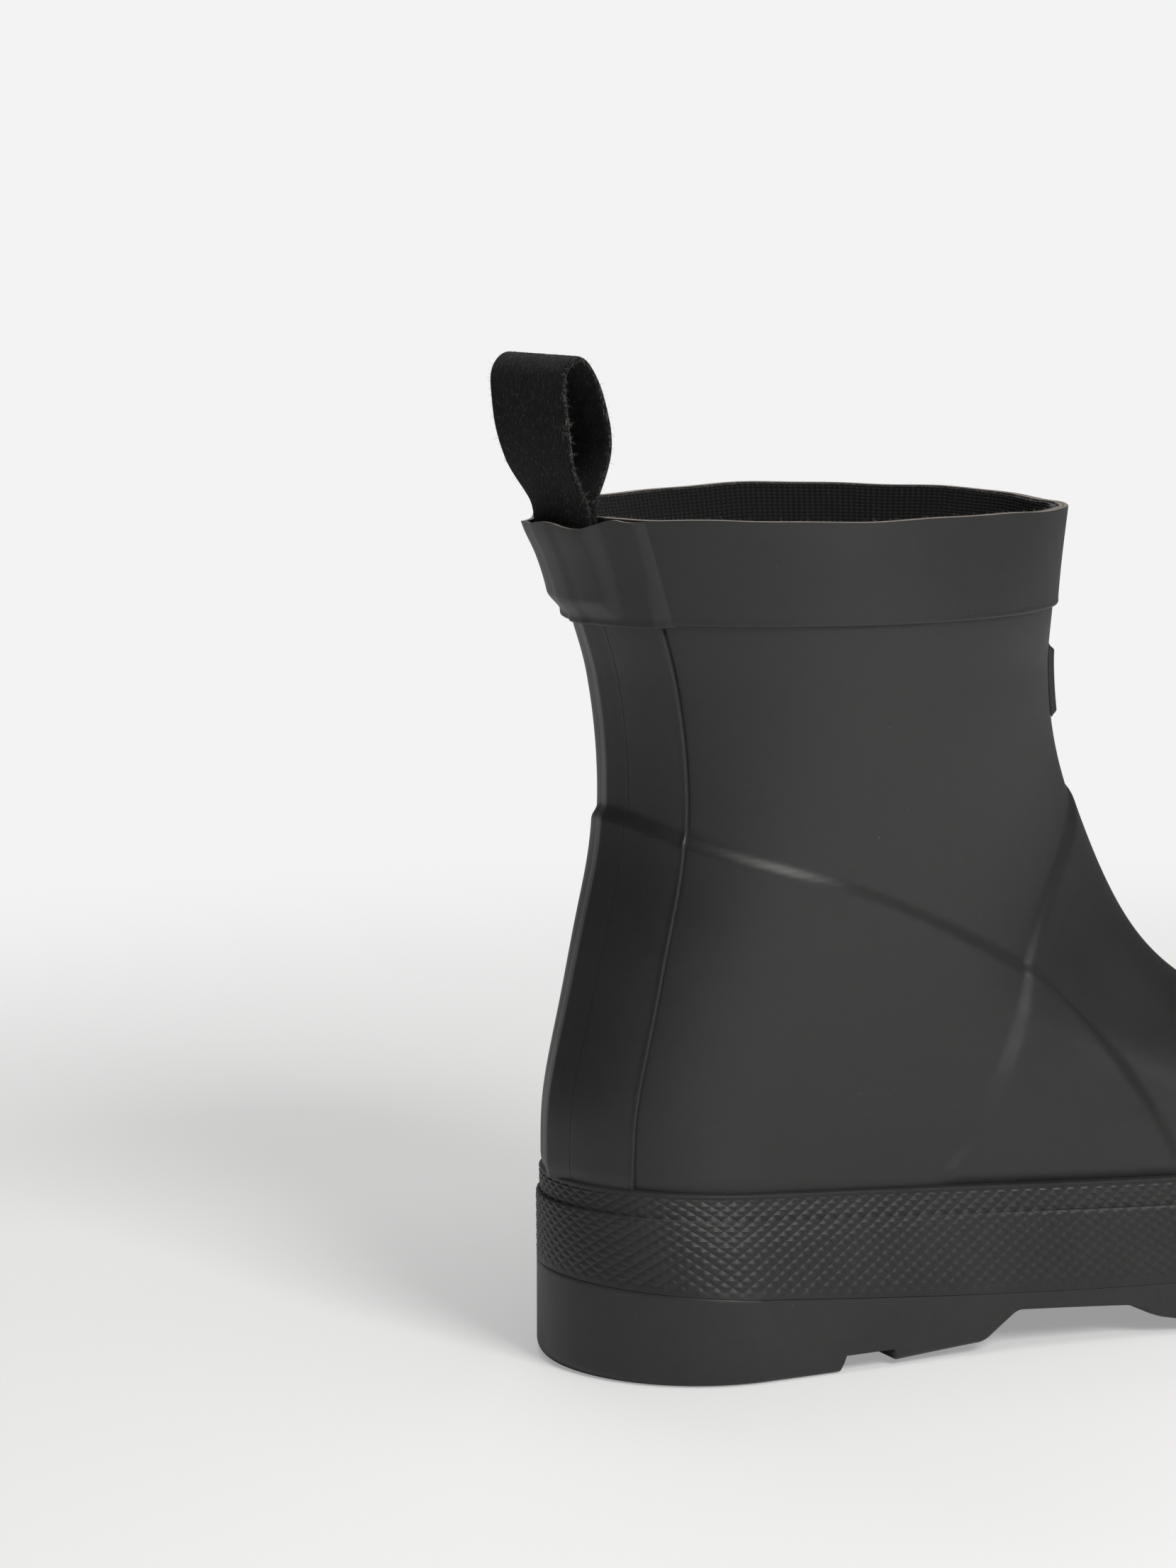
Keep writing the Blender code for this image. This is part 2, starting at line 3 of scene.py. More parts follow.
import bmesh
import bpy
import numpy as np
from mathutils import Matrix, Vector


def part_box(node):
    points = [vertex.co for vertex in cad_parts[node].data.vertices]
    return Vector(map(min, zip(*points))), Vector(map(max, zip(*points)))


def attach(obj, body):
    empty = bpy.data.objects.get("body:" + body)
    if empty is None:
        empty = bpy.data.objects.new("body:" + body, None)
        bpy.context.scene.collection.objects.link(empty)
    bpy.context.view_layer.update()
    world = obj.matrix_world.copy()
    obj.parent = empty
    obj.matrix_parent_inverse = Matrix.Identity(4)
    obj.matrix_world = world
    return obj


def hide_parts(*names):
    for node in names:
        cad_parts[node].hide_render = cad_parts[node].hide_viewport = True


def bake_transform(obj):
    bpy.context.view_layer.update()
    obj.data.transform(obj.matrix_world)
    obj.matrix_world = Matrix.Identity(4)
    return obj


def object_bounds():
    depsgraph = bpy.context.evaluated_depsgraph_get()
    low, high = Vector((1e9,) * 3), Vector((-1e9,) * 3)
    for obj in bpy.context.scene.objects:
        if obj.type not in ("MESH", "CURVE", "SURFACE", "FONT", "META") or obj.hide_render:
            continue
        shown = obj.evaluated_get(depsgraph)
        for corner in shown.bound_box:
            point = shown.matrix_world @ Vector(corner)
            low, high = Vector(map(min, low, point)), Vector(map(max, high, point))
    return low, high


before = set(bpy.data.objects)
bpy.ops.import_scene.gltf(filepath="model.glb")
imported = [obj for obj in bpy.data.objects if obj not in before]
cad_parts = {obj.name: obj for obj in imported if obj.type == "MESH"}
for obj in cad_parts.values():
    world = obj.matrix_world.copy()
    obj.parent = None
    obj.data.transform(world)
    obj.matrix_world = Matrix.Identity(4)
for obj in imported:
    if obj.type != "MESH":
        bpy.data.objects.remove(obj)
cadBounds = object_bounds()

print("frame loaded:", len(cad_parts), "nodes")

mm = 0.001
mmPerLevel = 230  # about how far the skin runs from the sole to the rim
chance = np.random.default_rng(7)

# The boot's rings, in mm from the back of the heel: back x z, front x z, half widths at heel and ball on
# the outer and then the inner side, shares that round off at heel and toe, waist on both sides, sag.
bootRings = {
    "feather": (9.6, 24, 273.5, 24, 36.8, 50, 35, 47, 0.14, 0.26, 3, 9, 10.6),
    "soleEdge": (8.6, 48, 262, 42, 32.6, 49.5, 31.8, 46.5, 0.15, 0.27, 2.5, 8, 4),
    "lowFoot": (9, 66, 236, 62.5, 31.5, 43, 31, 41, 0.17, 0.33, 1, 5, 1.4),
    "midFoot": (13.8, 88, 198, 78, 33, 34.4, 33, 34, 0.22, 0.42, 0, 2.5, 0),
    "instep": (18.9, 110, 173, 97, 36.6, 32.6, 37, 32.6, 0.30, 0.50, 0, 0.5, 0),
    "ankle": (23, 130, 156.3, 125, 41.5, 36, 41.8, 36, 0.42, 0.54, 0, 0, 0),
    "shin": (23, 156, 145, 153, 45.3, 43.5, 45.3, 43.5, 0.48, 0.52, 0, 0, 0),
    "collar": (17, 186, 142, 186, 48, 50, 48, 50, 0.50, 0.50, 0, 0, 0),
    "rim": (9, 210, 144.4, 210, 47.5, 52.5, 47.5, 52.5, 0.50, 0.50, 0, 0, 0),
}


def smooth(t):
    t = np.clip(t, 0, 1)
    return t * t * (3 - 2 * t)


def naturalSpline(knots, values):
    count = len(knots)
    step = np.diff(knots)
    system = np.zeros((count, count))
    right = np.zeros(values.shape)
    system[0, 0] = system[-1, -1] = 1
    for i in range(1, count - 1):
        system[i, i - 1 : i + 2] = step[i - 1], 2 * (step[i - 1] + step[i]), step[i]
        rise = (values[i + 1] - values[i]) / step[i]
        right[i] = 6 * (rise - (values[i] - values[i - 1]) / step[i - 1])
    bend = np.linalg.solve(system, right)

    def read(at):
        i = np.clip(np.searchsorted(knots, at, side="right") - 1, 0, count - 2)
        wide = step[i][..., None]
        after = ((at - knots[i]) / step[i])[..., None]
        before = 1 - after
        cubic = (before**3 - before) * bend[i] + (after**3 - after) * bend[i + 1]
        return before * values[i] + after * values[i + 1] + cubic * wide**2 / 6

    return read


# The distance travelled at each point of a line.
def travelOf(points):
    return np.concatenate([[0], np.cumsum(np.linalg.norm(np.diff(points, axis=0), axis=1))])


def ringLevels(rows):
    travel = travelOf(rows[:, 0:2]) + travelOf(rows[:, 2:4])
    return travel / travel[-1]


ringRows = np.array(list(bootRings.values()), float)
ringKnots = ringLevels(ringRows)
levelOf = dict(zip(bootRings, ringKnots))
ringProfile = naturalSpline(ringKnots, ringRows)


# A point on the boot's outer face. The angle is 0 at the back and pi at the front, the outer side between
# them, and the level climbs from 0 at the sole to 1 at the rim.
def skinPoint(angle, level):
    angle, level = np.broadcast_arrays(np.asarray(angle, float), np.asarray(level, float))
    backX, backZ, frontX, frontZ, *widths, heelRound, toeRound, waistOut, waistIn, sag = np.moveaxis(
        ringProfile(np.clip(level, 0, 1)), -1, 0
    )
    along = (1 - np.cos(angle)) / 2
    outer = np.sin(angle) >= 0
    heel = np.where(outer, widths[0], widths[2])
    ball = np.where(outer, widths[1], widths[3])
    waist = np.where(outer, waistOut, waistIn)
    toeRound = np.minimum(toeRound, 1 - heelRound)
    intoHeel = np.clip(1 - along / heelRound, 0, 1)
    intoToe = np.clip(1 - (1 - along) / toeRound, 0, 1)
    half = heel + (ball - heel) * smooth((along - 0.12) / 0.76)
    half = half - waist * np.sin(pi * np.clip((along - 0.15) / 0.6, 0, 1)) ** 2
    half = half * np.sqrt(1 - intoHeel**2) * np.sqrt(1 - intoToe**2)
    x = backX + (frontX - backX) * along
    z = backZ + (frontZ - backZ) * along - sag * np.sin(pi * along**1.2)
    return np.stack([x, np.where(outer, -half, half), z], -1)


def skinNormal(angle, level):
    angle, level = np.broadcast_arrays(np.asarray(angle, float), np.asarray(level, float))
    turn, climb = 0.02, 0.004
    around = skinPoint(angle + turn, level) - skinPoint(angle - turn, level)
    up = skinPoint(angle, np.minimum(level + climb, 1)) - skinPoint(angle, np.maximum(level - climb, 0))
    normal = np.cross(around, up)
    normal /= np.linalg.norm(normal, axis=-1, keepdims=True)
    normal[..., 2] *= smooth((1 - level) / 0.08) * smooth(level / 0.06)
    return normal / np.linalg.norm(normal, axis=-1, keepdims=True)


def levelAt(height, angle=pi / 2):
    levels = np.linspace(0, 1, 801)
    return np.interp(height, skinPoint(angle, levels)[:, 2], levels)


# Angles this far round from the back, in mm, positive on the outer side: one row for each level.
def anglesAt(distances, levels):
    angles = np.linspace(0, pi, 241)
    distances = np.asarray(distances)
    rows = [np.interp(abs(distances), travelOf(skinPoint(angles, level)), angles) for level in levels]
    return np.array(rows) * np.sign(distances)


# The same angles as a grid, with each one's level.
def backGrid(distances, levels):
    angle = anglesAt(distances, levels)
    return angle, np.broadcast_to(levels[:, None], angle.shape)


# Angles at even steps round one ring.
def evenAngles(count, level):
    angles = np.linspace(0, 2 * pi, 1441)
    travel = travelOf(skinPoint(angles, level))
    return np.interp(np.arange(count) * travel[-1] / count, travel, angles), travel[-1]


def heelPlace():
    angle, level = np.meshgrid(np.arange(60) * pi / 30, np.linspace(0, 1, 18))
    rings = skinPoint(angle, level)
    low, high = np.array(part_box("upper_skin")) / mm
    middle = (rings[..., 1].min() + rings[..., 1].max()) / 2
    return np.array([low[0] - rings[..., 0].min(), (low[1] + high[1]) / 2 - middle, 0])


heelAt = heelPlace()
foxingTop = bootRings["soleEdge"][1] - bootRings["feather"][1]
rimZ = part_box("upper_skin")[1][2] / mm
print("heel stands at", heelAt.round(2), "rim at", round(rimZ, 2))


def toFrame(points):
    return (np.asarray(points, float) + heelAt) * mm


reliefLook = {"counterRise": 1.25, "counterRamp": 2.9, "vampRise": 1.0, "vampRamp": 3.6, "sunk": 0.8}
# The edges of the counter and the vamp sheet that print through the skin, in side view.
counterLine = (
    (-20, 141), (20, 138.5), (30.6, 132.5), (43, 128), (53.9, 124.7), (66.6, 121), (81.5, 115.2),
    (96.7, 108.4), (111.9, 100.8), (125.3, 93.4), (131.9, 87.8), (140.4, 78.8), (147.7, 68.9),
    (153.7, 59.8), (158.2, 51.4), (165, 36),
)
vampLine = (
    (93, 36), (97.8, 44.7), (105, 53.5), (112, 65.1), (117.9, 77.7), (121.5, 87.7), (123.3, 94.9),
    (128.5, 105.5), (134.2, 115.2), (142.1, 125.6), (151, 138), (162, 152),
)


# Distance from a line in side view, positive on its right as it runs on.
def rightOf(line, x, z):
    start, end = np.array(line[:-1], float), np.array(line[1:], float)
    run = end - start
    offset = np.stack([x, z], -1)[..., None, :] - start
    share = np.clip((offset * run).sum(-1) / (run**2).sum(-1), 0, 1)
    far = np.linalg.norm(offset - share[..., None] * run, axis=-1)
    nearest = far.argmin(-1)[..., None]
    across = run[:, 0] * offset[..., 1] - run[:, 1] * offset[..., 0]
    return -np.sign(np.take_along_axis(across, nearest, -1))[..., 0] * far.min(-1)


def relief(angle, level):
    look = reliefLook
    point = skinPoint(angle, level)
    x, z = point[..., 0], point[..., 2]
    counter = smooth(rightOf(counterLine, x, z) / look["counterRamp"] + 0.5) * look["counterRise"]
    vamp = smooth(rightOf(vampLine, x, z) / look["vampRamp"] + 0.5) * look["vampRise"]
    sunk = look["sunk"] * smooth((levelOf["collar"] - level) / 0.08)
    aboveFoxing = smooth((level - levelOf["soleEdge"] + 0.002) / 0.018)
    return (counter + vamp - sunk) * aboveFoxing


# How far the cut rim wanders from its level: low at the outer side of the front, high on the inner side.
def rimWave(angle):
    dip = 1.5 * np.exp(-(((angle - 2.8) / 0.55) ** 2)) - 0.9 * np.exp(-(((angle - 4.6) / 0.9) ** 2))
    return 0.25 * np.sin(3 * angle + 0.4) + 0.2 * np.sin(7 * angle + 1.3) + 0.1 * np.sin(15 * angle + 2) - dip


def offsetPoint(angle, level, depth, wave=True):
    angle, level, depth = np.broadcast_arrays(angle, level, depth)
    point = skinPoint(angle, level) + skinNormal(angle, level) * depth[..., None]
    if wave:
        point[..., 2] += rimWave(angle) * smooth((level - 0.9) / 0.1)
    return point


def gridFaces(rows, columns, wrapRows=False, wrapColumns=False):
    down = np.arange(rows if wrapRows else rows - 1)
    over = np.arange(columns if wrapColumns else columns - 1)
    row, column = (side.ravel() for side in np.meshgrid(down, over, indexing="ij"))
    rowOn, columnOn = (row + 1) % rows, (column + 1) % columns
    return np.stack([row * columns + column, row * columns + columnOn,
                     rowOn * columns + columnOn, rowOn * columns + column], 1)


# Faces that close a ring's first row from side to side.
def closingFaces(columns):
    half = columns // 2
    ends = [(0, 1, columns - 1), (half - 1, half, half + 1)]
    return ends + [(i, i + 1, columns - i - 1, columns - i) for i in range(1, half - 1)]


# Cloth coordinates in mm at the corners of a grid's faces, which run on past the seam.
def gridCloth(across, along, wrapColumns):
    if wrapColumns:
        across = np.append(across, 2 * across[-1] - across[-2])
    rows, columns = np.arange(len(along) - 1), np.arange(len(across) - 1)
    row, column = (side.ravel() for side in np.meshgrid(rows, columns, indexing="ij"))
    corners = ((0, 0), (0, 1), (1, 1), (1, 0))
    return np.stack([np.stack([across[column + over], along[row + down]], -1) for down, over in corners], 1)


# Splits each face along its lower diagonal, so that grooves stay crisp.
def splitLow(quads, height):
    low = height[quads]
    first = (low[:, 0] + low[:, 2] <= low[:, 1] + low[:, 3])[:, None]
    one = np.where(first, quads[:, [0, 1, 2]], quads[:, [0, 1, 3]])
    two = np.where(first, quads[:, [0, 2, 3]], quads[:, [1, 2, 3]])
    return np.concatenate([one, two])


# Turns a mesh's faces outwards, after joining any points that lie this close.
def turnOutwards(mesh, joinWithin=0.0):
    shaped = bmesh.new()
    shaped.from_mesh(mesh)
    if joinWithin:
        bmesh.ops.remove_doubles(shaped, verts=shaped.verts, dist=joinWithin)
    bmesh.ops.recalc_face_normals(shaped, faces=shaped.faces)
    shaped.to_mesh(mesh)
    shaped.free()


def addPiece(name, points, faces, finish, nodes=(), slotName="rubber", body="boot", sharp=40, cloth=None):
    mesh = bpy.data.meshes.new(name)
    mesh.from_pydata(toFrame(points).tolist(), [], [list(map(int, face)) for face in faces])
    if cloth is not None:
        layer = mesh.uv_layers.new(name="cloth")
        flat = np.zeros((len(mesh.loops), 2), np.float32)
        flat[: cloth.size // 2] = cloth.reshape(-1, 2)
        layer.data.foreach_set("uv", flat.ravel())
    turnOutwards(mesh)
    mesh.shade_smooth()
    mesh.set_sharp_from_angle(angle=radians(sharp))
    mesh.materials.append(finish)
    piece = bpy.data.objects.new(name, mesh)
    bpy.context.scene.collection.objects.link(piece)
    if body:
        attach(piece, body)
    if nodes:
        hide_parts(*nodes)
    print("made", name, len(mesh.polygons))
    return piece


# A closed ring of rubber: its rows run up the outside and down the inside.
def ringPiece(name, rings, finish, **more):
    rows, columns = rings.shape[:2]
    return addPiece(name, rings.reshape(-1, 3), gridFaces(rows, columns, True, True), finish, **more)


# A sheet between an outer and an inner grid, with its four edges closed.
def sheetPiece(name, outer, inner, finish, **more):
    rows, columns = outer.shape[:2]
    behind = rows * columns
    outside = gridFaces(rows, columns)
    faces = [outside, outside[:, ::-1] + behind]
    for row in (0, rows - 1):
        here = row * columns + np.arange(columns - 1)
        faces.append(np.stack([here, here + 1, here + 1 + behind, here + behind], 1))
    for column in (0, columns - 1):
        here = np.arange(rows - 1) * columns + column
        faces.append(np.stack([here, here + columns, here + columns + behind, here + behind], 1))
    points = np.concatenate([outer.reshape(-1, 3), inner.reshape(-1, 3)])
    return addPiece(name, points, np.concatenate(faces), finish, **more)


# Places from low to high that crowd towards both ends, where an edge rounds off.
def crowded(low, high, count, crowd=0.6):
    t = np.linspace(0, 1, count)
    return low + (high - low) * ((1 - crowd) * t + crowd * (1 - np.cos(pi * t)) / 2)


# The share of a sheet's thickness that is left this far in from its cut edge.
def edgeRound(distance, radius, left=0.35):
    t = np.clip(distance / radius, 0, 1)
    return left + (1 - left) * np.sqrt(1 - (1 - t) ** 2)


# Wraps a socket so that expressions on values add their Math nodes.
class Wire:
    def __init__(self, finish, socket):
        self.finish, self.socket = finish, socket

    def math(self, operation, *values):
        return self.finish.node("ShaderNodeMath", {"operation": operation}, dict(enumerate(values)))

    def __add__(self, other):
        return self.math("ADD", self, other)

    def __radd__(self, other):
        return self.math("ADD", other, self)

    def __sub__(self, other):
        return self.math("SUBTRACT", self, other)

    def __rsub__(self, other):
        return self.math("SUBTRACT", other, self)

    def __mul__(self, other):
        return self.math("MULTIPLY", self, other)

    def __rmul__(self, other):
        return self.math("MULTIPLY", other, self)

    def __lt__(self, other):
        return self.math("LESS_THAN", self, other)

    def __gt__(self, other):
        return self.math("GREATER_THAN", self, other)

    def __abs__(self):
        return self.math("ABSOLUTE", self)

    def sine(self):
        return self.math("SINE", self)

    def most(self, other):
        return self.math("MAXIMUM", self, other)


# One material and its nodes.
class Finish:
    def __init__(self, name, made=None):
        self.made = made or bpy.data.materials.new(name)
        self.made.use_nodes = True
        self.made.node_tree.nodes.clear()

    # Adds a node of a type: its settings first, then the values or wires of its sockets.
    def node(self, kind, settings=None, sockets=None, output=0):
        node = self.made.node_tree.nodes.new(kind)
        for name, value in (settings or {}).items():
            if name == "stops":
                while len(node.color_ramp.elements) < len(value):
                    node.color_ramp.elements.new(0.5)
                for element, (position, colour) in zip(node.color_ramp.elements, value):
                    element.position, element.color = position, colour
            else:
                setattr(node, name, value)
        for name, value in (sockets or {}).items():
            if isinstance(value, Wire):
                self.made.node_tree.links.new(value.socket, node.inputs[name])
            else:
                node.inputs[name].default_value = value
        return Wire(self, node.outputs[output]) if node.outputs else None

    def place(self):
        return self.node("ShaderNodeTexCoord", output="Object")

    def cloth(self):
        return self.node("ShaderNodeUVMap", {"uv_map": "cloth"})

    def part(self, vector, axis):
        return self.node("ShaderNodeSeparateXYZ", None, {"Vector": vector}, axis)

    def noise(self, vector, scale, detail=2.0, rough=0.5):
        return self.node("ShaderNodeTexNoise", None,
                         {"Vector": vector, "Scale": scale, "Detail": detail, "Roughness": rough})

    # A value squeezed from one range into another with smooth ends.
    def step(self, value, low, high, toLow=0.0, toHigh=1.0):
        return self.node("ShaderNodeMapRange", {"interpolation_type": "SMOOTHSTEP"},
                         {"Value": value, "From Min": low, "From Max": high,
                          "To Min": toLow, "To Max": toHigh})

    def mix(self, share, one, two):
        return self.node("ShaderNodeMix", {"data_type": "RGBA"}, {0: share, 6: one, 7: two}, 2)

    def bump(self, height, distance):
        return self.node("ShaderNodeBump", None, {"Height": height, "Distance": distance, "Strength": 1.0})

    def end(self, shader, output="ShaderNodeOutputMaterial"):
        self.node(output, None, {"Surface": shader})
        return self.made

    def shade(self, **sockets):
        named = {name.replace("_", " "): value for name, value in sockets.items()}
        return self.end(self.node("ShaderNodeBsdfPrincipled", None, named))


def grey(level, warmth=0.0):
    return (level * (1 + warmth), level, level * (1 - warmth), 1)


# Small bright specks of dust, scattered in cells of a lattice.
def dustOn(finish, place, perMetre, size):
    cells = finish.node("ShaderNodeTexVoronoi", None, {"Vector": place, "Scale": perMetre})
    luck = finish.node("ShaderNodeTexVoronoi", None, {"Vector": place, "Scale": perMetre}, "Color")
    pick = finish.part(luck, 0)
    reach = (pick - 0.55) * (size * perMetre)
    return cells < reach


rubberLook = {
    "dark": 0.0115, "light": 0.0155, "rough": (0.42, 0.5), "specular": 0.5,
    "grain": 1500, "grainDepth": 0.00003, "dust": 0.17, "cutEdge": (0.27, 0.235, 0.2, 1),
}


def rubberFinish(name, look, swirl=0.0):
    finish = Finish(name)
    place = finish.place()
    cloud = finish.noise(place, 24, 3, 0.6)
    fine = finish.noise(place, 420, 3, 0.7)
    tone = cloud * 0.65 + fine * 0.35
    colour = finish.mix(finish.step(tone, 0.3, 0.7), grey(look["dark"], -0.01), grey(look["light"], 0.01))
    dust = dustOn(finish, place, 130, 0.00042).most(dustOn(finish, place, 300, 0.0003) * 0.6)
    colour = finish.mix(dust * 0.8, colour, grey(look["dust"], 0.04))
    # The cut edge at the rim is paler than the skin.
    upward = finish.part(finish.node("ShaderNodeNewGeometry", output="Normal"), 2)
    height = finish.part(place, 2)
    cut = finish.step(upward, 0.45, 0.8) * finish.step(height, (rimZ - 4.5) * mm, (rimZ - 2.5) * mm)
    worn = finish.step(finish.noise(place, 900, 2), 0.25, 0.6, 0.5, 1.0)
    colour = finish.mix(cut * worn, colour, look["cutEdge"])
    rough = finish.step(cloud, 0.3, 0.7, *look["rough"])
    grain = finish.noise(place, look["grain"], 2, 0.6)
    if swirl:
        flow = abs(finish.noise(place, 38, 3, 0.55) - 0.5)
        line = 1 - finish.step(flow, 0.0, 0.02)
        grain = grain + line * (finish.step(finish.noise(place, 16, 1), 0.5, 0.6) * swirl)
    return finish.shade(Base_Color=colour, Roughness=rough, Normal=finish.bump(grain, look["grainDepth"]),
                        **{"Specular IOR Level": look["specular"]})


clothLook = {"ribs": 1.5, "picks": 0.95, "dark": 0.004, "light": 0.018, "lint": 0.08}


# Ribbed canvas: fat ribs that cross finer picks, with pale lint on it.
def canvasFinish(name, look):
    finish = Finish(name)
    flat, place = finish.cloth(), finish.place()
    rib = (finish.part(flat, 0) * (2 * pi / look["ribs"])).sine()
    pick = (finish.part(flat, 1) * (2 * pi / look["picks"])).sine()
    weave = (rib * 0.5 + 0.5) * (0.45 + pick * 0.55)
    fibre = finish.noise(place, 2600, 3, 0.7)
    tone = weave * 0.7 + fibre * 0.5
    colour = finish.mix(finish.step(tone, 0.15, 1.0), grey(look["dark"]), grey(look["light"], 0.02))
    lint = finish.step(finish.noise(place, 700, 4, 0.8), 0.62, 0.74)
    colour = finish.mix(lint * 0.5, colour, grey(look["lint"], 0.03))
    return finish.shade(Base_Color=colour, Roughness=0.93, Normal=finish.bump(weave + fibre * 0.4, 0.00025),
                        **{"Specular IOR Level": 0.2, "Sheen Weight": 0.12, "Sheen Roughness": 0.5})


# Brushed knit webbing: faint wales along it, and pale fibres that lie along them in broken streaks.
def webbingFinish(name, look):
    finish = Finish(name)
    flat, place = finish.cloth(), finish.place()
    across, along = finish.part(flat, 0), finish.part(flat, 1)
    wale = (across * (2 * pi / look["wale"])).sine()
    stretched = finish.node("ShaderNodeCombineXYZ", None,
                            {"X": across * 1.9, "Y": along * 0.75, "Z": finish.part(place, 1) * 400})
    streak = finish.noise(stretched, 1.0, 3, 0.75)
    fibre = finish.noise(place, 3000, 3, 0.7)
    tone = wale * 0.06 + streak * 0.55 + fibre * 0.35
    colour = finish.mix(finish.step(tone, 0.3, 0.66), grey(look["dark"]), grey(look["light"], 0.02))
    fleck = finish.step(streak, 0.56, 0.68) * finish.step(fibre, 0.35, 0.6)
    speck = finish.step(finish.noise(place, 1500, 2, 0.8), 0.66, 0.72)
    colour = finish.mix((fleck * 0.6).most(speck * 0.5), colour, grey(look["lint"], 0.03))
    height = wale * 0.15 + streak * 1.2 + fibre * 0.8
    return finish.shade(Base_Color=colour, Roughness=0.92, Normal=finish.bump(height, 0.00018),
                        **{"Specular IOR Level": 0.15, "Sheen Weight": 0.06, "Sheen Roughness": 0.5})


# A hidden layer's finish: one colour that mottles a little, with a grain.
def plainFinish(name, dark, light, rough, grain, metallic=0.0):
    finish = Finish(name)
    place = finish.place()
    mottle = finish.noise(place, 60, 4, 0.6)
    fine = finish.noise(place, grain, 3, 0.7)
    colour = finish.mix(finish.step(mottle * 0.5 + fine * 0.5, 0.3, 0.7), dark, light)
    return finish.shade(Base_Color=colour, Roughness=finish.step(fine, 0.3, 0.7, rough - 0.06, rough + 0.06),
                        Metallic=metallic, Normal=finish.bump(fine, 0.00006))


webLook = {"width": 30.0, "thick": 1.6, "wale": 0.9, "knitDepth": 0.075, "twist": 9.0, "ply": 1.7,
           "dark": 0.0025, "light": 0.014, "lint": 0.115, "step": 0.36,
           "tailHeights": (195.5, 199, 203, 207), "bowRadius": 35.0, "freeFrom": 208}
rubber = rubberFinish("rubber matte", rubberLook)
knurled = rubberFinish("rubber knurled", {**rubberLook, "dark": 0.02, "light": 0.027, "specular": 0.3})
soleRubber = rubberFinish("rubber sole", {**rubberLook, "dark": 0.024, "light": 0.031, "specular": 0.3},
                          swirl=3.0)
canvas = canvasFinish("canvas lining", clothLook)
webbing = webbingFinish("webbing", webLook)
fuzz = plainFinish("loose fibres", grey(0.12, 0.03), grey(0.36, 0.05), 0.85, 800)
knit = plainFinish("footbed knit", grey(0.035), grey(0.09), 0.93, 1800)
hiddenFinishes = {
    "heel_counter": plainFinish("counter rubber", (0.1, 0.085, 0.07, 1), (0.14, 0.12, 0.1, 1), 0.8, 600),
    "vamp_stiffener": plainFinish("vamp rubber", (0.09, 0.08, 0.065, 1), (0.13, 0.11, 0.09, 1), 0.8, 600),
    "insole_board": plainFinish("fibre board", (0.26, 0.19, 0.12, 1), (0.42, 0.33, 0.22, 1), 0.9, 900),
    "midsole": plainFinish("midsole foam", grey(0.16), grey(0.24), 0.9, 1400),
    "heel_filler": plainFinish("heel foam", grey(0.15), grey(0.22), 0.9, 1400),
    "forefoot_filler": plainFinish("forefoot foam", grey(0.17), grey(0.24), 0.9, 1400),
    "steel_shank": plainFinish("spring steel", grey(0.42), grey(0.56), 0.35, 500, 1.0),
}
for nodeName, finish in hiddenFinishes.items():
    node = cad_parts[nodeName]
    if not node.material_slots:
        node.data.materials.append(finish)
    for slot in node.material_slots:
        slot.material = finish
print("finishes ready")

upperLook = {"columns": 340, "rows": 170, "innerRows": 40, "thick": 1.1, "gap": 0.15}


def upperSkin():
    look = upperLook
    angles, _ = evenAngles(look["columns"], 0.6)
    outerLevels, innerLevels = np.linspace(0, 1, look["rows"]), np.linspace(1, 0, look["innerRows"])
    level, angle = np.meshgrid(outerLevels, angles, indexing="ij")
    outer = offsetPoint(angle, level, relief(angle, level))
    level, angle = np.meshgrid(innerLevels, angles, indexing="ij")
    inner = offsetPoint(angle, level, -look["thick"])
    ringPiece("upperSkin", np.concatenate([outer, inner]), rubber, nodes=["upper_skin"])


stayLook = {"half": 25.0, "thick": 0.8, "lip": 0.34, "ribHalf": 7.2, "ribRise": 1.35,
            "low": 0.004, "top": 184.0}


def backLevels(count):
    return np.linspace(levelOf["soleEdge"] - stayLook["low"], levelAt(stayLook["top"], 0) + 0.01, count)


def backStay():
    look = stayLook
    levels = backLevels(150)
    distance = crowded(-look["half"], look["half"], 61, 0.75)
    angle, level = backGrid(distance, levels)
    inside = look["half"] - abs(distance)
    lip = look["lip"] * np.exp(-(((inside - 0.7) / 0.45) ** 2))
    depth = relief(angle, level) + upperLook["gap"]
    thick = look["thick"] * edgeRound(inside, 0.7, 0.3) + lip
    sheetPiece("backStay", offsetPoint(angle, level, depth + thick), offsetPoint(angle, level, depth),
               rubber, nodes=["back_stay"])


def backRib():
    look = stayLook
    levels = backLevels(150)
    distance = np.linspace(-look["ribHalf"], look["ribHalf"], 37)
    angle, level = backGrid(distance, levels)
    depth = relief(angle, level) + upperLook["gap"] + look["thick"]
    swell = np.cos(pi * distance / (2 * look["ribHalf"])) ** 2
    crown = 0.06 + look["ribRise"] * (0.8 * swell + 0.2 * np.exp(-((distance / 1.1) ** 2)))
    sheetPiece("backRib", offsetPoint(angle, level, depth + crown), offsetPoint(angle, level, depth),
               rubber, nodes=["back_rib"])


bandLook = {"low": 184.7, "thick": 1.1, "endsAt": 17.5}


def collarBand():
    look = bandLook
    low = levelAt(look["low"])
    levels = crowded(low, 1, 40, 0.7)
    edge = float(anglesAt([look["endsAt"]], [low])[0, 0])
    level, angle = np.meshgrid(levels, np.linspace(edge, 2 * pi - edge, 321), indexing="ij")
    up = (level - low) * mmPerLevel
    depth = upperLook["gap"] + 0.1 * smooth(1 - up / 2)
    thick = look["thick"] * edgeRound(up, 0.7)
    sheetPiece("collarBand", offsetPoint(angle, level, depth + thick), offsetPoint(angle, level, depth),
               rubber, nodes=["collar_band"])


